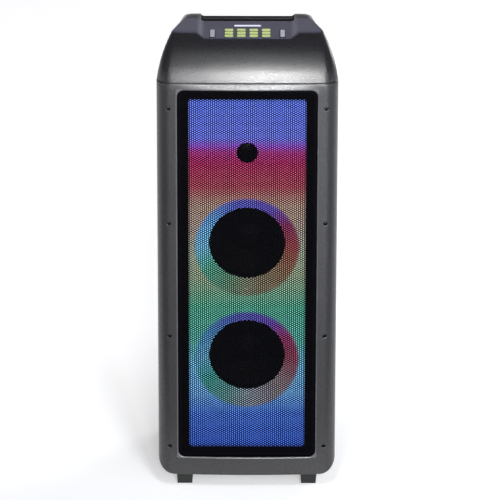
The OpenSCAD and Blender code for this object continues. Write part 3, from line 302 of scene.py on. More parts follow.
def joined(patches):
    """Points and faces of several patches in one, with points closer than a hundredth of a millimetre
    made one and squares that lose a corner made triangles."""
    points = np.concatenate([np.reshape(p, (-1, 3)) for p, f in patches])
    starts = np.cumsum([0] + [np.size(p) // 3 for p, f in patches])
    faces = np.concatenate([np.reshape(f, (-1, 4)) + s for (p, f), s in zip(patches, starts)])
    keys, first, same = np.unique(np.round(points, 2), axis=0, return_index=True, return_inverse=True)
    faces = np.reshape(same, -1)[faces]
    double = faces == np.roll(faces, -1, axis=1)
    threes = faces[double.sum(1) == 1][~double[double.sum(1) == 1]].reshape(-1, 3)
    return points[first], faces[~double.any(1)].tolist() + threes.tolist()


def piece(name, patches, finish, crease=40.0):
    """Object of patches given in millimetres, smooth but for edges sharper than the crease angle."""
    points, faces = joined(patches)
    mesh = bpy.data.meshes.new(name)
    mesh.from_pydata((0.001 * points).tolist(), [], faces)
    mesh.validate()
    mesh.shade_smooth()
    mesh.set_sharp_from_angle(angle=math.radians(crease))
    mesh.materials.append(finish)
    made = bpy.data.objects.new(name, mesh)
    studio.collection.objects.link(made)
    return made


def part_finish(made, finish, chosen):
    """Gives a finish of their own to the faces whose middles, in millimetres, the function chooses."""
    faces = made.data.polygons
    middles = np.empty(3 * len(faces))
    faces.foreach_get("center", middles)
    slots = np.empty(len(faces), dtype=np.int32)
    faces.foreach_get("material_index", slots)
    made.data.materials.append(finish)
    slots[chosen(*(1000 * middles.reshape(-1, 3).T))] = len(made.data.materials) - 1
    faces.foreach_set("material_index", slots)


def window_loop():
    """Half of the way round the window, from the middle of its foot over the left side to the middle of
    its head: the points of the window, their outward normals, the points of the cabinet's outline that
    face them, the outline's normals and the radius of the outline's edge there."""
    core_x, core_low, core_high = win_x - win_r, win_low + win_r, win_high - win_r
    stops = np.concatenate([[core_low], np.ravel([pit_z - pit_half, pit_z + pit_half], "F"), [core_high]])
    counts = [2, 7] + [13, 7] * 3 + [4]
    spans = [np.linspace(a, b, n) for a, b, n in zip(stops, stops[1:], counts)]
    side_z = np.unique(np.concatenate(spans).round(4))
    foot_x = np.linspace(0, -core_x, 17)
    head_x = foot_x[::-1]
    low_f, high_f = np.linspace(0, 1, 21)[1:-1], np.linspace(0, 1, 11)[1:-1]
    low_turn, high_turn = np.radians(270 - 90 * low_f), np.radians(180 - 90 * high_f)

    nx = np.concatenate([0 * foot_x, np.cos(low_turn), -1 + 0 * side_z, np.cos(high_turn), 0 * head_x])
    nz = np.concatenate([-1 + 0 * foot_x, np.sin(low_turn), 0 * side_z, np.sin(high_turn), 1 + 0 * head_x])
    x = np.concatenate([foot_x, -core_x + 0 * low_f, -core_x + 0 * side_z, -core_x + 0 * high_f, head_x])
    z = np.concatenate([core_low + 0 * foot_x, core_low + 0 * low_f, side_z, core_high + 0 * high_f,
                        core_high + 0 * head_x])

    swing = np.radians(270 - 90 * np.clip((low_f - 0.2) / 0.6, 0, 1))
    low_x = (-half_w + low_r + low_r * np.cos(swing)
             + (half_w - low_r - core_x) * np.clip(1 - low_f / 0.2, 0, 1))
    low_z = (z_low + low_r + low_r * np.sin(swing)
             + (core_low - z_low - low_r) * np.clip(low_f / 0.2 - 4, 0, 1))
    up = np.clip(high_f / 0.4, 0, 1)
    over = np.clip((high_f - 0.4) / 0.6, 0, 1)
    out_run = np.concatenate([foot_x, run_of(low_x), -side_run + 0 * side_z,
                              -side_run + (side_run - core_x) * over, head_x])
    out_z = np.concatenate([z_low + 0 * foot_x, low_z, side_z, core_high + (z_seam - core_high) * up,
                            z_seam + 0 * head_x])
    at_head = (high_f > 0.39).astype(float)
    out_nx = np.concatenate([0 * foot_x, np.cos(swing), -1 + 0 * side_z, at_head - 1, 0 * head_x])
    out_nz = np.concatenate([-1 + 0 * foot_x, np.sin(swing), 0 * side_z, at_head, 1 + 0 * head_x])
    edge = np.where(out_nz > 0, seam_r, hem_r) * out_nz ** 2
    return [x, z, nx, nz, out_run, out_z, out_nx, out_nz, edge]


def all_round(half, mirrored):
    """A half way round made a whole one by its mirror image in the centre plane."""
    back = half[-2:0:-1]
    return np.concatenate([half, -back if mirrored else back])


changes_sign = (True, False, True, False, True, False, True, False, False)
core_x, core_z, nx, nz, out_run, out_z, out_nx, out_nz, edge = [
    all_round(half, mirrored) for half, mirrored in zip(window_loop(), changes_sign)]
frame_rows = []
lit_mid, core_mid = (lit_low + lit_high) / 2, (win_low + win_high) / 2
ledge_wide = (lit_x - lit_r) / (win_x - win_r)
ledge_tall = (lit_high - lit_mid - lit_r) / (win_high - core_mid - win_r)
ledge_x = ledge_wide * core_x + lit_r * nx
ledge_z = lit_mid + ledge_tall * (core_z - core_mid) + lit_r * nz
frame_rows.append(np.stack([ledge_x, y_floor + 0 * ledge_x, ledge_z], -1))
frame_rows.append(np.stack([ledge_x, y_ledge + 0 * ledge_x, ledge_z], -1))
frame_rows.append(np.stack([core_x + win_r * nx, y_ledge + 0 * nx, core_z + win_r * nz], -1))
for swing in np.radians(np.linspace(0, 90, 7)):
    out = win_r + lip_r * (1 - math.cos(swing))
    frame_rows.append(front_skin(core_x + out * nx, core_z + out * nz, lip_r * (1 - math.sin(swing))))
lip_run, lip_z = core_x + (win_r + lip_r) * nx, core_z + (win_r + lip_r) * nz
end_run, end_z = out_run - edge * out_nx, out_z - edge * out_nz
sheet_start = len(frame_rows) - 1
reach = side_run - win_x - lip_r
pit_run = float(run_of(np.array(pit_x)))
pit_from = (pit_run - pit_half - win_x - lip_r) / reach
pit_to = (pit_run + pit_half - win_x - lip_r) / reach
shares = np.concatenate([np.linspace(0, pit_from, 3)[1:], np.linspace(pit_from, pit_to, 7)[1:],
                         np.linspace(pit_to, 1, 13)[1:]])
for share in shares:
    frame_rows.append(front_skin(lip_run + share * (end_run - lip_run), lip_z + share * (end_z - lip_z)))
sheet_end = len(frame_rows) - 1
rim = front_skin(out_run, out_z)
for swing in np.radians(np.linspace(0, 90, 5)[1:]):
    inset = edge * (1 - math.sin(swing))
    row = front_skin(out_run - inset * out_nx, out_z - inset * out_nz)
    row[:, 1] = rim[:, 1] + edge * (1 - math.cos(swing))
    frame_rows.append(row)
for share in (0.25, 0.5, 0.75, 1.0):
    row = frame_rows[-1].copy()
    row[:, 1] += share * (y_joint - row[:, 1])
    row[:, 0] = np.clip(row[:, 0], joint_draw * share ** 2 - half_w, half_w - joint_draw * share ** 2)
    frame_rows.append(row)
frame_grid = np.array(frame_rows)
frame_faces = quads(*frame_grid.shape[:2], closed=True)
middle = frame_grid.reshape(-1, 3)[frame_faces].mean(2)
in_pit = ((np.abs(run_of(middle[..., 0, None])) - pit_run) ** 2 < (pit_half - 0.5) ** 2) & (
    np.abs(middle[..., 2, None] - pit_z) < pit_half - 0.5)
in_pit = in_pit.any(-1)
in_pit[:sheet_start] = False
in_pit[sheet_end:] = False


def pit_patch(side, z0):
    """Screw pit: rings that pass from a square of the sheet to a circle, roll over its lip, go down a
    straight wall and close in a flat floor."""
    t = np.linspace(-1, 1, 7)[:-1]
    square = pit_half * np.concatenate([np.stack([0 * t + 1, t], -1), np.stack([-t, 0 * t + 1], -1),
                                        np.stack([0 * t - 1, -t], -1), np.stack([t, 0 * t - 1], -1)])
    ring = square / np.linalg.norm(square, axis=1)[:, None]
    rows = []
    for share in (0, 0.35, 0.7, 1):
        flat = (1 - share) * square + share * (pit_r + pit_lip) * ring
        rows.append(front_skin(side * pit_run + flat[:, 0], z0 + flat[:, 1]))
    for swing in np.radians([30, 60, 90]):
        flat = (pit_r + pit_lip * (1 - math.sin(swing))) * ring
        rows.append(front_skin(side * pit_run + flat[:, 0], z0 + flat[:, 1], pit_lip * (1 - math.cos(swing))))
    for radius in (pit_r, 0.0):
        row = rows[6].copy()
        row[:, 0] = side * pit_x + radius * ring[:, 0]
        row[:, 1] = y_floor
        row[:, 2] = z0 + radius * ring[:, 1]
        rows.append(row)
    grid = np.array(rows)
    return grid, quads(*grid.shape[:2], closed=True)


frame_patches = [(frame_grid, frame_faces[~in_pit])]
frame_patches += [pit_patch(side, z) for side in (-1, 1) for z in pit_z]
front_frame = piece("front_frame_shell", frame_patches, shell_black)
# Painted highlight: the window's lip is a lighter grey than the shell, standing in for the light its rounded
# edge catches.
lip_painted_highlight = grained_plastic("lip_painted_highlight", (0.05, 0.05, 0.056), 0.3, 1.0, 0.0016, 0.00003)
part_finish(front_frame, lip_painted_highlight, lambda x, y, z: (
    (np.abs(x) < win_x + lip_r) & (z < win_high + lip_r) & (z > win_low - lip_r)))
# Painted shade: the window's inner rim and ledge behind the grille are a darker, duller copy of the shell
# plastic, standing in for the shade in that recess.
border_painted_shade = grained_plastic("border_painted_shade", (0.002, 0.002, 0.0028), 0.6, 0.08, 0.0016, 0.00004)
part_finish(front_frame, border_painted_shade, lambda x, y, z: (
    (np.abs(x) < win_x + 0.2) & (y > y_nose + 7) & (z < win_high + 0.2)))
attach(front_frame, "tower")
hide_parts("front_frame")

# Light panel. A milky sheet behind the grille, lit from behind by coloured lamps: blue at the head,
# then red, sand, green and sky blue down to a deep blue foot. Clear rings round the woofers glow too.
light_x, light_low, light_high = lit_x / 1000, lit_low / 1000, lit_high / 1000
side_fade, end_fade = 0.006, 0.009
upper_woofer_z, lower_woofer_z, ring_blend = 0.543, 0.288, (0.103, 0.109)


def lamp_glow(nodes, links, shader, colour, strength):
    """Makes the shader give off the colour, a little uneven, as over separate lamps; gives the strength."""
    uneven = between(speckle(nodes, links, 0.03), 0.95 * strength, 1.05 * strength)
    links.new(colour, shader.inputs["Emission Color"])
    links.new(uneven, shader.inputs["Emission Strength"])
    return uneven


def panel_light(height):
    """Colour of the lamps behind the sheet at a height in metres."""
    share = between(height, 0.0, 1.0, light_low, light_high)
    return tones(share, [
        (0.0, (0.035, 0.12, 0.7)), (0.1, (0.06, 0.19, 0.78)), (0.16, (0.16, 0.44, 0.86)),
        (0.24, (0.17, 0.53, 0.82)), (0.31, (0.1, 0.49, 0.43)), (0.41, (0.09, 0.47, 0.32)),
        (0.5, (0.35, 0.45, 0.3)), (0.57, (0.43, 0.49, 0.38)), (0.63, (0.44, 0.36, 0.31)),
        (0.7, (0.5, 0.33, 0.26)), (0.75, (0.48, 0.07, 0.11)), (0.82, (0.48, 0.01, 0.12)),
        (0.85, (0.48, 0.03, 0.28)), (0.868, (0.34, 0.09, 0.76)), (0.89, (0.17, 0.22, 1.0)),
        (1.0, (0.12, 0.22, 1.0))])


milky_sheet, nodes, links, shader = new_finish("milky_sheet", (0.05, 0.05, 0.055), 0.5)
coords = nodes.new("ShaderNodeTexCoord")
split = nodes.new("ShaderNodeSeparateXYZ")
links.new(coords.outputs["Object"], split.inputs[0])
lit = lamp_glow(nodes, links, shader, panel_light(split.outputs["Z"]), 1.7)
from_side = between(math_step("ABSOLUTE", split.outputs["X"]), 1.0, 0.6, light_x - side_fade, light_x)
from_foot = between(split.outputs["Z"], 0.45, 1.0, light_low, light_low + end_fade)
from_head = between(split.outputs["Z"], 1.0, 0.45, light_high - end_fade, light_high)
edge_fade = math_step("MINIMUM", from_side, math_step("MINIMUM", from_foot, from_head))
links.new(math_step("MULTIPLY", lit, edge_fade), shader.inputs["Emission Strength"])
dress(milky_sheet, "diffuser_panel")


def ring_finish(name, z_mid, stops):
    """Clear plastic whose glow runs through the stops round the woofer, from the left over the foot, the
    right and the head back to the left; its outer edge takes on the colour of the sheet."""
    finish, nodes, links, shader = new_finish(name, (0.05, 0.05, 0.055), 0.3)
    coords = nodes.new("ShaderNodeTexCoord")
    split = nodes.new("ShaderNodeSeparateXYZ")
    links.new(coords.outputs["Object"], split.inputs[0])
    across, height = split.outputs["X"], split.outputs["Z"]
    up = math_step("SUBTRACT", height, z_mid)
    turn = between(math_step("ARCTAN2", up, across), 0.0, 1.0, -math.pi, math.pi)
    square = math_step("ADD", math_step("MULTIPLY", across, across), math_step("MULTIPLY", up, up))
    radius = math_step("SQRT", square)
    merge = nodes.new("ShaderNodeMix")
    merge.data_type = "RGBA"
    links.new(between(radius, 0.0, 0.4, *ring_blend), merge.inputs["Factor"])
    links.new(tones(turn, stops), merge.inputs["A"])
    links.new(panel_light(height), merge.inputs["B"])
    lamp_glow(nodes, links, shader, merge.outputs["Result"], 1.6)
    return finish


upper_glow = ring_finish("upper_ring_glow", upper_woofer_z, [
    (0.0, (0.21, 0.62, 0.95)), (0.085, (0.1, 0.48, 0.34)), (0.17, (0.14, 0.35, 0.22)),
    (0.25, (0.25, 0.27, 0.18)), (0.4, (0.31, 0.18, 0.1)), (0.5, (0.38, 0.06, 0.07)),
    (0.58, (0.3, 0.025, 0.13)), (0.66, (0.16, 0.1, 0.63)), (0.8, (0.12, 0.15, 0.71)),
    (0.9, (0.15, 0.45, 0.92)), (1.0, (0.21, 0.62, 0.95))])
lower_glow = ring_finish("lower_ring_glow", lower_woofer_z, [
    (0.0, (0.14, 0.47, 0.74)), (0.085, (0.05, 0.38, 0.34)), (0.17, (0.12, 0.35, 0.36)),
    (0.25, (0.27, 0.33, 0.4)), (0.4, (0.27, 0.2, 0.23)), (0.5, (0.33, 0.05, 0.1)),
    (0.58, (0.35, 0.03, 0.15)), (0.66, (0.16, 0.08, 0.53)), (0.8, (0.1, 0.14, 0.6)),
    (0.9, (0.08, 0.3, 0.62)), (1.0, (0.14, 0.47, 0.74))])
dress(upper_glow, "upper_light_ring")
dress(lower_glow, "lower_light_ring")

# Baffle, lamp boards and drivers. Behind the light panel stand the board, the lamp strips and two
# paper-cone woofers with rubber surrounds and a small horn tweeter; all of it is near black.
board_wood, nodes, links, shader = new_finish("board_wood", (0.16, 0.10, 0.055), 0.6)
fibres = speckle(nodes, links, 0.004, 4.0, (1.0, 1.0, 0.08))
links.new(tones(fibres, [(0.3, (0.12, 0.075, 0.04)), (0.7, (0.22, 0.145, 0.08))]),
          shader.inputs["Base Color"])
dress(board_wood, "baffle")
lamp_board, nodes, links, shader = new_finish("lamp_board", (0.7, 0.72, 0.7), 0.45)
links.new(between(speckle(nodes, links, 0.003), 0.35, 0.55), shader.inputs["Roughness"])
dress(lamp_board, "light_boards")

cone_paper, nodes, links, shader = new_finish("cone_paper", (0.002, 0.002, 0.0025), 0.6, 0.1)
raise_grain(shader, speckle(nodes, links, 0.0012, 4.0), 0.0001)
dress(cone_paper, "upper_cone", "lower_cone", "upper_dust_cap", "lower_dust_cap")
roll_rubber, nodes, links, shader = new_finish("roll_rubber", (0.002, 0.002, 0.002), 0.5, 0.1)
raise_grain(shader, speckle(nodes, links, 0.0006), 0.00004)
dress(roll_rubber, "upper_surround", "lower_surround", "tweeter_surround")
painted_steel, nodes, links, shader = new_finish("painted_steel", (0.01, 0.01, 0.011), 0.45, 0.4)
raise_grain(shader, speckle(nodes, links, 0.0009, 3.0), 0.00005)
dress(painted_steel, "upper_basket", "lower_basket", "driver_screws", "front_screws", "rear_screws")
horn_plastic = grained_plastic("horn_plastic", (0.003, 0.003, 0.0035), 0.45, 0.15, 0.0014, 0.00004)
dress(horn_plastic, "tweeter_horn")
dome_silk, nodes, links, shader = new_finish("dome_silk", (0.02, 0.02, 0.022), 0.4)
raise_grain(shader, speckle(nodes, links, 0.0004), 0.00003)
dress(dome_silk, "tweeter_dome")
ferrite, nodes, links, shader = new_finish("ferrite", (0.05, 0.05, 0.052), 0.55)
links.new(between(speckle(nodes, links, 0.002), 0.45, 0.65), shader.inputs["Roughness"])
dress(ferrite, "upper_magnet", "lower_magnet")
plated_steel, nodes, links, shader = new_finish("plated_steel", (0.5, 0.51, 0.52), 0.32, 0.5, 1.0)
links.new(between(speckle(nodes, links, 0.002, 3.0), 0.24, 0.42), shader.inputs["Roughness"])
dress(plated_steel, "upper_steel", "lower_steel", "tweeter_motor", "foot_screws")
coil_copper, nodes, links, shader = new_finish("coil_copper", (0.62, 0.28, 0.12), 0.3, 0.5, 1.0)
turns = speckle(nodes, links, 0.0004, 1.0, (0.05, 1.0, 0.05))
raise_grain(shader, turns, 0.00005)
dress(coil_copper, "upper_coil", "lower_coil")
spider_cloth, nodes, links, shader = new_finish("spider_cloth", (0.42, 0.31, 0.13), 0.8)
raise_grain(shader, speckle(nodes, links, 0.0006), 0.0001)
dress(spider_cloth, "upper_spider", "lower_spider")

# Grille. A flat sheet of steel, punched all over with round holes in staggered upright columns, its
# edge folded back on the border, powder coated black.
grille_y, sheet_t, grille_gap = -163.0, 1.2, 0.6
hole_pitch, hole_d, hole_sides, margin = 5.0, 3.2, 12, 2.2
grille_x, grille_r = win_x - grille_gap, win_r - grille_gap
grille_half_z = (win_high - win_low) / 2 - grille_gap
powder_black, nodes, links, shader = new_finish("powder_black", (0.0008, 0.0008, 0.0016), 0.6, 0.03)
raise_grain(shader, speckle(nodes, links, 0.0005, 2.0), 0.00004)
links.new(between(speckle(nodes, links, 0.02), 0.54, 0.66), shader.inputs["Roughness"])


def hole_places():
    """Middles of the holes: upright columns 0.866 of the pitch apart, every second one shifted by half a
    pitch, kept inside the sheet's rounded edge."""
    step = hole_pitch * math.sqrt(3) / 2
    i = np.arange(-math.floor(grille_x / step), math.floor(grille_x / step) + 1)
    j = np.arange(-math.floor(grille_half_z / hole_pitch) - 1, math.floor(grille_half_z / hole_pitch) + 2)
    i, j = np.meshgrid(i, j, indexing="ij")
    x, z = i * step, (j + (i % 2) / 2) * hole_pitch
    room = hole_pitch / math.sqrt(3) + margin
    dx = np.clip(np.abs(x) - (grille_x - grille_r), 0, None)
    dz = np.clip(np.abs(z) - (grille_half_z - grille_r), 0, None)
    inside = (np.hypot(dx, dz) < grille_r - room)
    return x[inside], z[inside]


def piece_of_arrays(name, points, faces, finish):
    """Object straight from arrays of points in millimetres and of four-sided faces."""
    mesh = bpy.data.meshes.new(name)
    mesh.vertices.add(len(points))
    mesh.vertices.foreach_set("co", (0.001 * points).astype(np.float32).ravel())
    mesh.loops.add(faces.size)
    mesh.loops.foreach_set("vertex_index", faces.astype(np.int32).ravel())
    mesh.polygons.add(len(faces))
    mesh.polygons.foreach_set("loop_start", np.arange(0, faces.size, 4, dtype=np.int32))
    mesh.update(calc_edges=True)
    mesh.validate()
    mesh.materials.append(finish)
    made = bpy.data.objects.new(name, mesh)
    studio.collection.objects.link(made)
    return made


def punched_sheet(name, x, z):
    """Six-sided fields of sheet round the given holes: each is a ring of squares from the field's edge to
    the hole, and a second ring down the hole's wall; neighbouring fields share their edges."""
    turn = np.arange(hole_sides) * 2 * math.pi / hole_sides
    corner = hole_pitch / math.sqrt(3)
    edge_r = np.where(np.arange(hole_sides) % 2 == 0, corner, hole_pitch / 2)
    rings = [(edge_r, 0.0), (hole_d / 2 + 0 * turn, 0.0), (hole_d / 2 + 0 * turn, sheet_t)]
    one = np.array([np.stack([r * np.cos(-turn), grille_y + depth + 0 * turn, r * np.sin(-turn)], -1)
                    for r, depth in rings])
    points = one[None] + np.stack([x, 0 * x, z + core_mid], -1)[:, None, None, :]
    faces = quads(3, hole_sides, closed=True).reshape(-1, 4)
    faces = faces[None] + (np.arange(len(x)) * 3 * hole_sides)[:, None, None]
    return piece_of_arrays(name, points.reshape(-1, 3), faces.reshape(-1, 4), powder_black)


hole_x, hole_z = hole_places()
fields = 4
for part in range(fields):
    low, high = np.quantile(hole_z, [part / fields, (part + 1) / fields])
    chosen = (hole_z >= low) & ((hole_z < high) | (part == fields - 1))
    sheet = punched_sheet(f"grille_field_{part + 1}", hole_x[chosen], hole_z[chosen])
    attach(sheet, "tower")
    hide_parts("grille")


def rounded_loop(half_x, half_z, radius, n_corner=8, n_side=24):
    """Closed way round a rectangle with round corners, clockwise as seen from the front."""
    starts = np.array([180, 90, 0, 270])
    turns = np.radians(np.linspace(starts, starts - 90, n_corner, axis=1))
    cx = np.array([-1, 1, 1, -1]) * (half_x - radius)
    cz = np.array([1, 1, -1, -1]) * (half_z - radius)
    corners = np.stack([cx[:, None] + radius * np.cos(turns), cz[:, None] + radius * np.sin(turns)], -1)
    sides = []
    for k in range(4):
        a, b = corners[k, -1], corners[(k + 1) % 4, 0]
        sides.append(corners[k])
        sides.append(a + (b - a) * np.linspace(0, 1, n_side)[1:-1, None])
    return np.concatenate(sides)


def grille_rim():
    """Plain edge of the sheet: from under the punched fields out to the fold, round the fold and back to
    the border."""
    rows = []
    fold = ((7.0, 0.25), (1.2, 0.0), (0.5, 0.2), (0.1, 0.7), (0.0, 1.4), (0.0, y_ledge - grille_y))
    for inset, depth in fold:
        loop = rounded_loop(grille_x - inset, grille_half_z - inset, max(grille_r - inset, 1.0))
        rows.append(np.stack([loop[:, 0], grille_y + depth + 0 * loop[:, 0], loop[:, 1] + core_mid], -1))
    grid = np.array(rows)
    return grid, quads(*grid.shape[:2], closed=True)


grille_edge = piece("grille_edge", [grille_rim()], powder_black)
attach(grille_edge, "tower")
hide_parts("grille")

# Top cap. One moulding over the cabinet: a hood that leans in on all sides and curves over into two
# rails, a sunk deck between them with the recess of the control panel, and the hand well with its bar.
cap_h, z_top, deck_drop, deck_half, rail_slope = 76.0, 987.0, 6.5, 89.0, 18.0
z_deck = z_top - deck_drop
hood_front, hood_rear, side_front, side_rear, straight, top_r = 107.0, 122.0, 31.0, 16.0, 0.42, 14.0
well_x, well_y, well_z, well_edge, well_sole, rear_in = 97.0, 25.0, 942.5, 1.6, 4.0, 44.0
recess_x, recess_y0, recess_y1, recess_z = 88.3, -80.8, 20.8, 977.9
soft, groove_h, groove_d, groove_r = 0.4, 1.6, 2.2, 1.0


def cap_sizes(s, inset=0.0):
    """Half widths, front, rear, corner radius and crown of the cap's outline at a share s of its height."""
    h = straight * s + (1 - straight) * s ** 3
    y_f = y_nose + fade + inset + (hood_front - fade) * h
    half_r = half_w - rear_in - inset - side_rear * h
    return (half_w - inset - side_front * h, half_r, y_f, -y_nose - inset - hood_rear * h,
            corner_r + (top_r - corner_r) * s - inset, crown - fade)


def outside_cap(s, x, y):
    """Above zero where a point lies outside the cap's outline at the share s: outside its crowned front,
    its straight rear, or its sides and their round corners."""
    half_f, half_r, y_f, y_r, r, bow = cap_sizes(s)
    x_f, x_r = half_f - r, half_r - r
    tilt = np.arctan(2 * bow / x_f)
    x_1, c_f, c_r = x_f + r * np.sin(tilt), y_f + bow + r * np.cos(tilt), y_r - r
    ax = np.abs(x)
    ex, ey = x_r - x_f, c_r - c_f
    long = np.hypot(ex, ey)
    along = ((ax - x_f) * ex + (y - c_f) * ey) / long ** 2
    side = ((ax - x_f) * ey - (y - c_f) * ex) / long - r
    front_corner = np.where(ax > x_f, np.hypot(ax - x_f, y - c_f) - r, -1.0)
    rear_corner = np.where(ax > x_r, np.hypot(ax - x_r, y - c_r) - r, -1.0)
    side = np.where(along < 0, front_corner, np.where(along > 1, rear_corner, side))
    front = np.where(ax <= x_1, y_f + bow * (ax / x_1) ** 2 - y, -1.0)
    return np.maximum(np.maximum(side, front), y - y_r)


def deck_height(x):
    """Height of the deck with its sloped rails at a distance x from the centre line."""
    share = np.clip((np.abs(x) - deck_half) / rail_slope, 0, 1)
    return z_deck + deck_drop * (1 - np.cos(math.pi * share)) / 2


def cap_height(x, y):
    """Height of the cap's skin over a point: the share of the height at which the outline passes through
    it, found by halving, and never more than the deck with its sloped rails; the two meet softly."""
    low, high = np.zeros_like(x), np.full_like(x, 1.06)
    for step in range(40):
        mid = (low + high) / 2
        out = outside_cap(mid, x, y) > 0
        low, high = np.where(out, low, mid), np.where(out, mid, high)
    skin = z_seam + cap_h * low
    deck = deck_height(x)
    return (skin + deck) / 2 - np.sqrt((skin - deck) ** 2 / 4 + soft ** 2)


def cap_relief(x, y):
    """The cap's height with the panel's recess and the hand well sunk into it; the well has a rolled upper
    edge and a rounded sole."""
    z = cap_height(x, y)
    off = np.hypot(np.clip(np.abs(x) - well_x, 0, None), np.clip(well_y - y, 0, None))
    roll = np.clip(well_edge - off, 0, well_edge)
    z = z - (well_edge - np.sqrt(np.clip(well_edge ** 2 - roll ** 2, 0, None))) * (z > well_z + well_edge)
    in_well = (np.abs(x) < well_x - 0.01) & (y > well_y + 0.01)
    room = np.clip(well_sole - np.minimum(well_x - np.abs(x), y - well_y), 0, well_sole)
    sole = well_z + well_sole - np.sqrt(np.clip(well_sole ** 2 - room ** 2, 0, None))
    z = np.where(in_well, np.minimum(z, sole), z)
    in_recess = (np.abs(x) < recess_x) & (y > recess_y0) & (y < recess_y1)
    return np.where(in_recess, np.minimum(z, recess_z), z)


step_wall = np.array([-0.02, 0.02])
out_of_well = np.array([-4.4, -3.4, -2.2, -1.0, -0.3, -0.04, 0.0, 0.15, 0.5, 1.0, 1.6, 4.0])
into_well = np.array([-2.5, -1.6, -1.0, -0.5, -0.15, 0.0, 0.04, 0.3, 1.0, 2.2, 3.3, 4.5])
right_lines = np.concatenate([np.linspace(0, 70, 8), [78, 84], recess_x + step_wall, [90.5],
                              well_x + out_of_well])
deck_x = np.concatenate([-right_lines[:0:-1], right_lines])
deck_y = np.concatenate([[-88, -84], recess_y0 + step_wall, np.linspace(-72, 14, 11), recess_y1 + step_wall,
                         well_y + into_well, np.linspace(36, 132, 16), [138, 142, 144.5, 147, 149.5]])


def cap_outline(s, inset):
    """The cap's outline at a share of its height, counter-clockwise from its front left as seen from
    above, with one point for each line of the deck's grid: crowned front, right side, rear, left side."""
    half_f, half_r, y_f, y_r, r, bow = cap_sizes(s, inset)
    x_f, x_r = half_f - r, half_r - r
    tilt = math.atan(2 * bow / x_f)
    x_1, c_f, c_r = x_f + r * math.sin(tilt), y_f + bow + r * math.cos(tilt), y_r - r
    turn = math.atan((x_f - x_r) / (c_r - c_f))
    first, last = np.linspace(tilt - math.pi / 2, turn, 30), np.linspace(turn, math.pi / 2, 30)
    way = np.concatenate([np.stack([x_f + r * np.cos(first), c_f + r * np.sin(first)], -1),
                          np.stack([x_r + r * np.cos(last), c_r + r * np.sin(last)], -1)])
    length = np.concatenate([[0], np.cumsum(np.hypot(*np.diff(way, axis=0).T))])
    even = np.linspace(0, 1, len(deck_y))
    spread = length[-1] * (0.5 * even + 0.5 * (deck_y - deck_y[0]) / (deck_y[-1] - deck_y[0]))
    right = np.stack([np.interp(spread, length, way[:, 0]), np.interp(spread, length, way[:, 1])], -1)
    share = 0.5 * np.linspace(-1, 1, len(deck_x)) + 0.5 * deck_x / deck_x[-1]
    front = np.stack([x_1 * share, y_f + bow * share ** 2], -1)
    rear = np.stack([-x_r * share, y_r + 0 * share], -1)
    left = right[::-1] * [-1, 1]
    return np.concatenate([front[:-1], right[:-1], rear[:-1], left[:-1]])


deck_edge = np.concatenate([np.stack([deck_x, 0 * deck_x + deck_y[0]], -1)[:-1],
                            np.stack([0 * deck_y + deck_x[-1], deck_y], -1)[:-1],
                            np.stack([-deck_x, 0 * deck_x + deck_y[-1]], -1)[:-1],
                            np.stack([0 * deck_y + deck_x[0], deck_y[::-1]], -1)[:-1]])
z_groove = z_seam + groove_h
hood_rows = []
for inset, z in ((4.0, z_seam), (groove_d, z_seam), (groove_d, z_groove), (groove_r, z_groove),
                 (0.55 * groove_r, z_groove + 0.1), (0.15 * groove_r, z_groove + 0.45)):
    loop = cap_outline(0.0, inset)
    hood_rows.append(np.column_stack([loop, np.full(len(loop), z)]))
hem_share = (groove_h + groove_r) / cap_h
hem = cap_outline(hem_share, 0.0)
for share in np.linspace(0, 1, 40) ** 1.7:
    flat = hem + share * (deck_edge - hem)
    z = cap_relief(flat[:, 0], flat[:, 1]) if share > 0 else np.full(len(flat), z_groove + groove_r)
    hood_rows.append(np.column_stack([flat, z]))
hood_grid = np.array(hood_rows)
deck_grid_x, deck_grid_y = np.meshgrid(deck_x, deck_y)
deck_grid = np.stack([deck_grid_x, deck_grid_y, cap_relief(deck_grid_x, deck_grid_y)], -1)


def carry_bar():
    """Bar across the hand well: a rectangle with round edges, carried from wall to wall; its top follows
    the deck."""
    y_0, y_1, z_0, r_low, r_top = 46.8, 59.3, 966.5, 5.0, 3.0
    x = np.concatenate([np.linspace(-97.2, -88, 8), np.linspace(-80, 80, 17), np.linspace(88, 97.2, 8)])
    turn = np.radians(np.linspace(0, 90, 7))
    y = np.concatenate([y_1 - r_low + r_low * np.cos(-turn), y_0 + r_low - r_low * np.sin(turn),
                        y_0 + r_top - r_top * np.cos(turn), y_1 - r_top + r_top * np.sin(turn)])
    up = np.concatenate([z_0 + r_low - r_low * np.sin(turn), z_0 + r_low - r_low * np.cos(turn),
                         z_deck - r_top + r_top * np.sin(turn), z_deck - r_top + r_top * np.cos(turn)])
    rise = deck_height(x) - z_deck
    lift = np.clip((up - z_0 - r_low) / (z_deck - z_0 - r_low), 0, 1)
    grid = np.stack(np.broadcast_arrays(x[:, None], y[None], up[None] + rise[:, None] * lift[None]), -1)
    return grid, quads(*grid.shape[:2], closed=True)


deck_violet, deck_line = (0.047, 0.045, 0.077), (-0.0011, -0.0006)
cap_plastic = grained_plastic("cap_plastic", moulded_black, 0.3, 1.0, leather_cell, leather_depth)
nodes, links = cap_plastic.node_tree.nodes, cap_plastic.node_tree.links
shader = nodes["Principled BSDF"]
coords = nodes.new("ShaderNodeTexCoord")
place = nodes.new("ShaderNodeSeparateXYZ")
links.new(coords.outputs["Object"], place.inputs[0])
rail_share = between(math_step("ABSOLUTE", place.outputs["X"]), 0.0, deck_drop / 1000,
                     deck_half / 1000, (deck_half + rail_slope) / 1000)
over_deck = math_step("SUBTRACT", math_step("SUBTRACT", place.outputs["Z"], z_deck / 1000), rail_share)
on_deck = between(over_deck, 0.0, 1.0, *deck_line)
before_well = between(place.outputs["Y"], 1.0, 0.0, (well_y - 2) / 1000, well_y / 1000)
deck_share = math_step("MULTIPLY", on_deck, before_well)
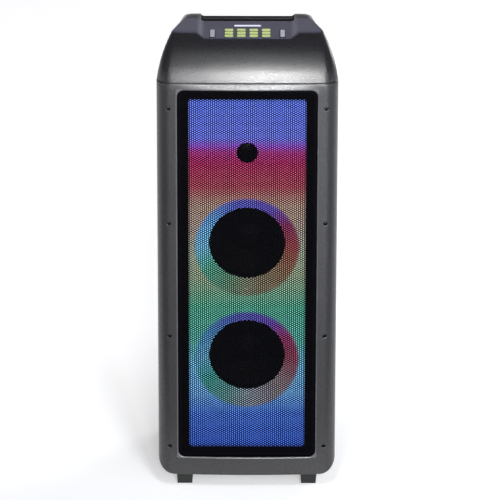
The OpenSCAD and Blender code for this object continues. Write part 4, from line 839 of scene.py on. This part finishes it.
links.new(tones(deck_share, [(0.0, moulded_black), (1.0, deck_violet)]), shader.inputs["Base Color"])
links.new(between(on_deck, 1.0, 0.35, 0.0, 1.0), shader.inputs["Specular IOR Level"])
top_cap = piece("top_cap_shell", [(hood_grid, quads(*hood_grid.shape[:2], closed=True)),
                                  (deck_grid, quads(*deck_grid.shape[:2])), carry_bar()], cap_plastic)
grip_black = grained_plastic("grip_black", (0.006, 0.006, 0.008), 0.5, 0.25, 0.0016, 0.00006)
part_finish(top_cap, grip_black,
            lambda x, y, z: (z > well_z - 1) & (y > well_y - 1.5) & (np.abs(x) < well_x + 0.3))
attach(top_cap, "tower")
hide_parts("top_cap")

# Control deck. A violet-grey plate let into the cap, with twelve lit keys in three rows, a rocker at
# each side and a plain lit display behind the keys.
deck_grey = grained_plastic("deck_grey", deck_violet, 0.36, 0.35, 0.0012, 0.00004)
dress(deck_grey, "control_panel")
board_green, nodes, links, shader = new_finish("board_green", (0.02, 0.12, 0.05), 0.4)
links.new(between(speckle(nodes, links, 0.002), 0.3, 0.5), shader.inputs["Roughness"])
dress(board_green, "control_board", "amplifier_board")
display_glow, nodes, links, shader = new_finish("display_glow", (0.3, 0.3, 0.34), 0.25)
haze = speckle(nodes, links, 0.004)
links.new(tones(haze, [(0.3, (0.74, 0.74, 0.98)), (0.7, (0.82, 0.82, 1.0))]),
          shader.inputs["Emission Color"])
shader.inputs["Emission Strength"].default_value = 0.7
dress(display_glow, "display_window")

key_w, key_d, key_r, key_up, key_crown, key_roll = 18.0, 14.6, 2.6, 1.6, 0.5, 0.9
key_step_x, key_step_y, key_row, key_foot = 25.6, 17.6, -69.7, 975.5
key_lit, nodes, links, shader = new_finish("key_lit", (0.16, 0.2, 0.07), 0.35, 0.4)
streaks = speckle(nodes, links, 0.0022, 2.0, (0.2, 1.0, 1.0))
links.new(tones(streaks, [(0.3, (0.36, 0.44, 0.14)), (0.7, (0.66, 0.78, 0.3))]),
          shader.inputs["Emission Color"])
shader.inputs["Emission Strength"].default_value = 0.62
key_side, nodes, links, shader = new_finish("key_side", (0.03, 0.04, 0.015), 0.4, 0.4)
links.new(between(speckle(nodes, links, 0.002), 0.34, 0.48), shader.inputs["Roughness"])


def pillow(x0, y0, half_x, half_y, radius, top, foot, roll, bulge):
    """Key cap: a rounded rectangle that goes up straight from its foot, rolls over and closes in a top that
    bulges a little towards its middle."""
    loop = rounded_loop(half_x, half_y, radius, 7, 4)[::-1]
    unit = loop / np.array([half_x, half_y])
    rows = [(0.0, foot - top)] + [(roll * (1 - math.cos(a)), roll * (math.sin(a) - 1)) for a in
                                  np.radians(np.linspace(0, 90, 6))]
    grid = []
    for inset, drop in rows:
        ring = loop * np.array([1 - inset / half_x, 1 - inset / half_y])
        grid.append(np.column_stack([ring, np.full(len(ring), top + drop)]))
    for share in (0.85, 0.65, 0.4, 0.15, 0.0):
        ring = loop * np.array([1 - roll / half_x, 1 - roll / half_y]) * share
        grid.append(np.column_stack([ring, np.full(len(ring), top + bulge * (1 - share ** 2))]))
    grid = np.array(grid) + [x0, y0, 0]
    return grid, quads(*grid.shape[:2], closed=True)


for k in range(12):
    place_x, place_y = (k % 4 - 1.5) * key_step_x, key_row + (k // 4) * key_step_y
    shape = pillow(place_x, place_y, key_w / 2, key_d / 2, key_r, z_deck + key_up, key_foot, key_roll,
                   key_crown)
    cap = piece(f"key_{k + 1}_lit_cap", [shape], key_lit)
    part_finish(cap, key_side, lambda x, y, z: z < z_deck + key_up - 0.12)
    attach(cap, f"key_{k + 1}_cap")
    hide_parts(f"key_{k + 1}")


def soften(width, *names):
    """Rounds the sharp edges of solids of the frame by a width in millimetres."""
    for name in names:
        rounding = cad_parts[name].modifiers.new("soft_edges", "BEVEL")
        rounding.width = 0.001 * width
        rounding.segments = 3
        rounding.limit_method = "ANGLE"
        rounding.angle_limit = math.radians(50)


rocker_x, rocker_y, rocker_half_x, rocker_half_y, rocker_rim = 0.0725, -0.055, 0.0063, 0.023, 0.0018
pale_grey, rim_black = (0.36, 0.355, 0.4), (0.012, 0.012, 0.015)
rocker_pale, nodes, links, shader = new_finish("rocker_pale", pale_grey, 0.4, 0.4)
links.new(between(speckle(nodes, links, 0.002), 0.34, 0.48), shader.inputs["Roughness"])
coords = nodes.new("ShaderNodeTexCoord")
split = nodes.new("ShaderNodeSeparateXYZ")
links.new(coords.outputs["Object"], split.inputs[0])
off_x = math_step("ABSOLUTE", math_step("SUBTRACT", math_step("ABSOLUTE", split.outputs["X"]), rocker_x))
off_y = math_step("ABSOLUTE", math_step("SUBTRACT", split.outputs["Y"], rocker_y))
past_x = math_step("SUBTRACT", off_x, rocker_half_x - rocker_rim)
past_y = math_step("SUBTRACT", off_y, rocker_half_y - rocker_rim)
rim_share = between(math_step("MAXIMUM", past_x, past_y), 0.0, 1.0, -0.0002, 0.0002)
links.new(tones(rim_share, [(0.0, pale_grey), (1.0, rim_black)]), shader.inputs["Base Color"])
soften(0.5, "left_rocker", "right_rocker")
dress(rocker_pale, "left_rocker", "right_rocker")

# Feet. Four rubber blocks that narrow to the floor, screwed on through the cabinet's underside.
foot_rubber = grained_plastic("foot_rubber", (0.012, 0.012, 0.012), 0.6, 0.3, 0.0016, 0.00006)
dress(foot_rubber, "feet")

# Rear. A plate with the mains inlet, the red power switch and the sockets, and the flared bass port.
rear_plate = grained_plastic("rear_plate", (0.014, 0.014, 0.015), 0.45, 0.35, 0.0014, 0.00005)
dress(rear_plate, "rear_panel", "bass_port", "ac_inlet", "mic_jacks", "aux_jack")
switch_red, nodes, links, shader = new_finish("switch_red", (0.42, 0.015, 0.012), 0.35)
links.new(between(speckle(nodes, links, 0.002), 0.28, 0.42), shader.inputs["Roughness"])
dress(switch_red, "power_switch")
dress(plated_steel, "usb_socket")
battery_wrap, nodes, links, shader = new_finish("battery_wrap", (0.03, 0.05, 0.14), 0.4)
links.new(between(speckle(nodes, links, 0.01), 0.32, 0.5), shader.inputs["Roughness"])
dress(battery_wrap, "battery_pack")
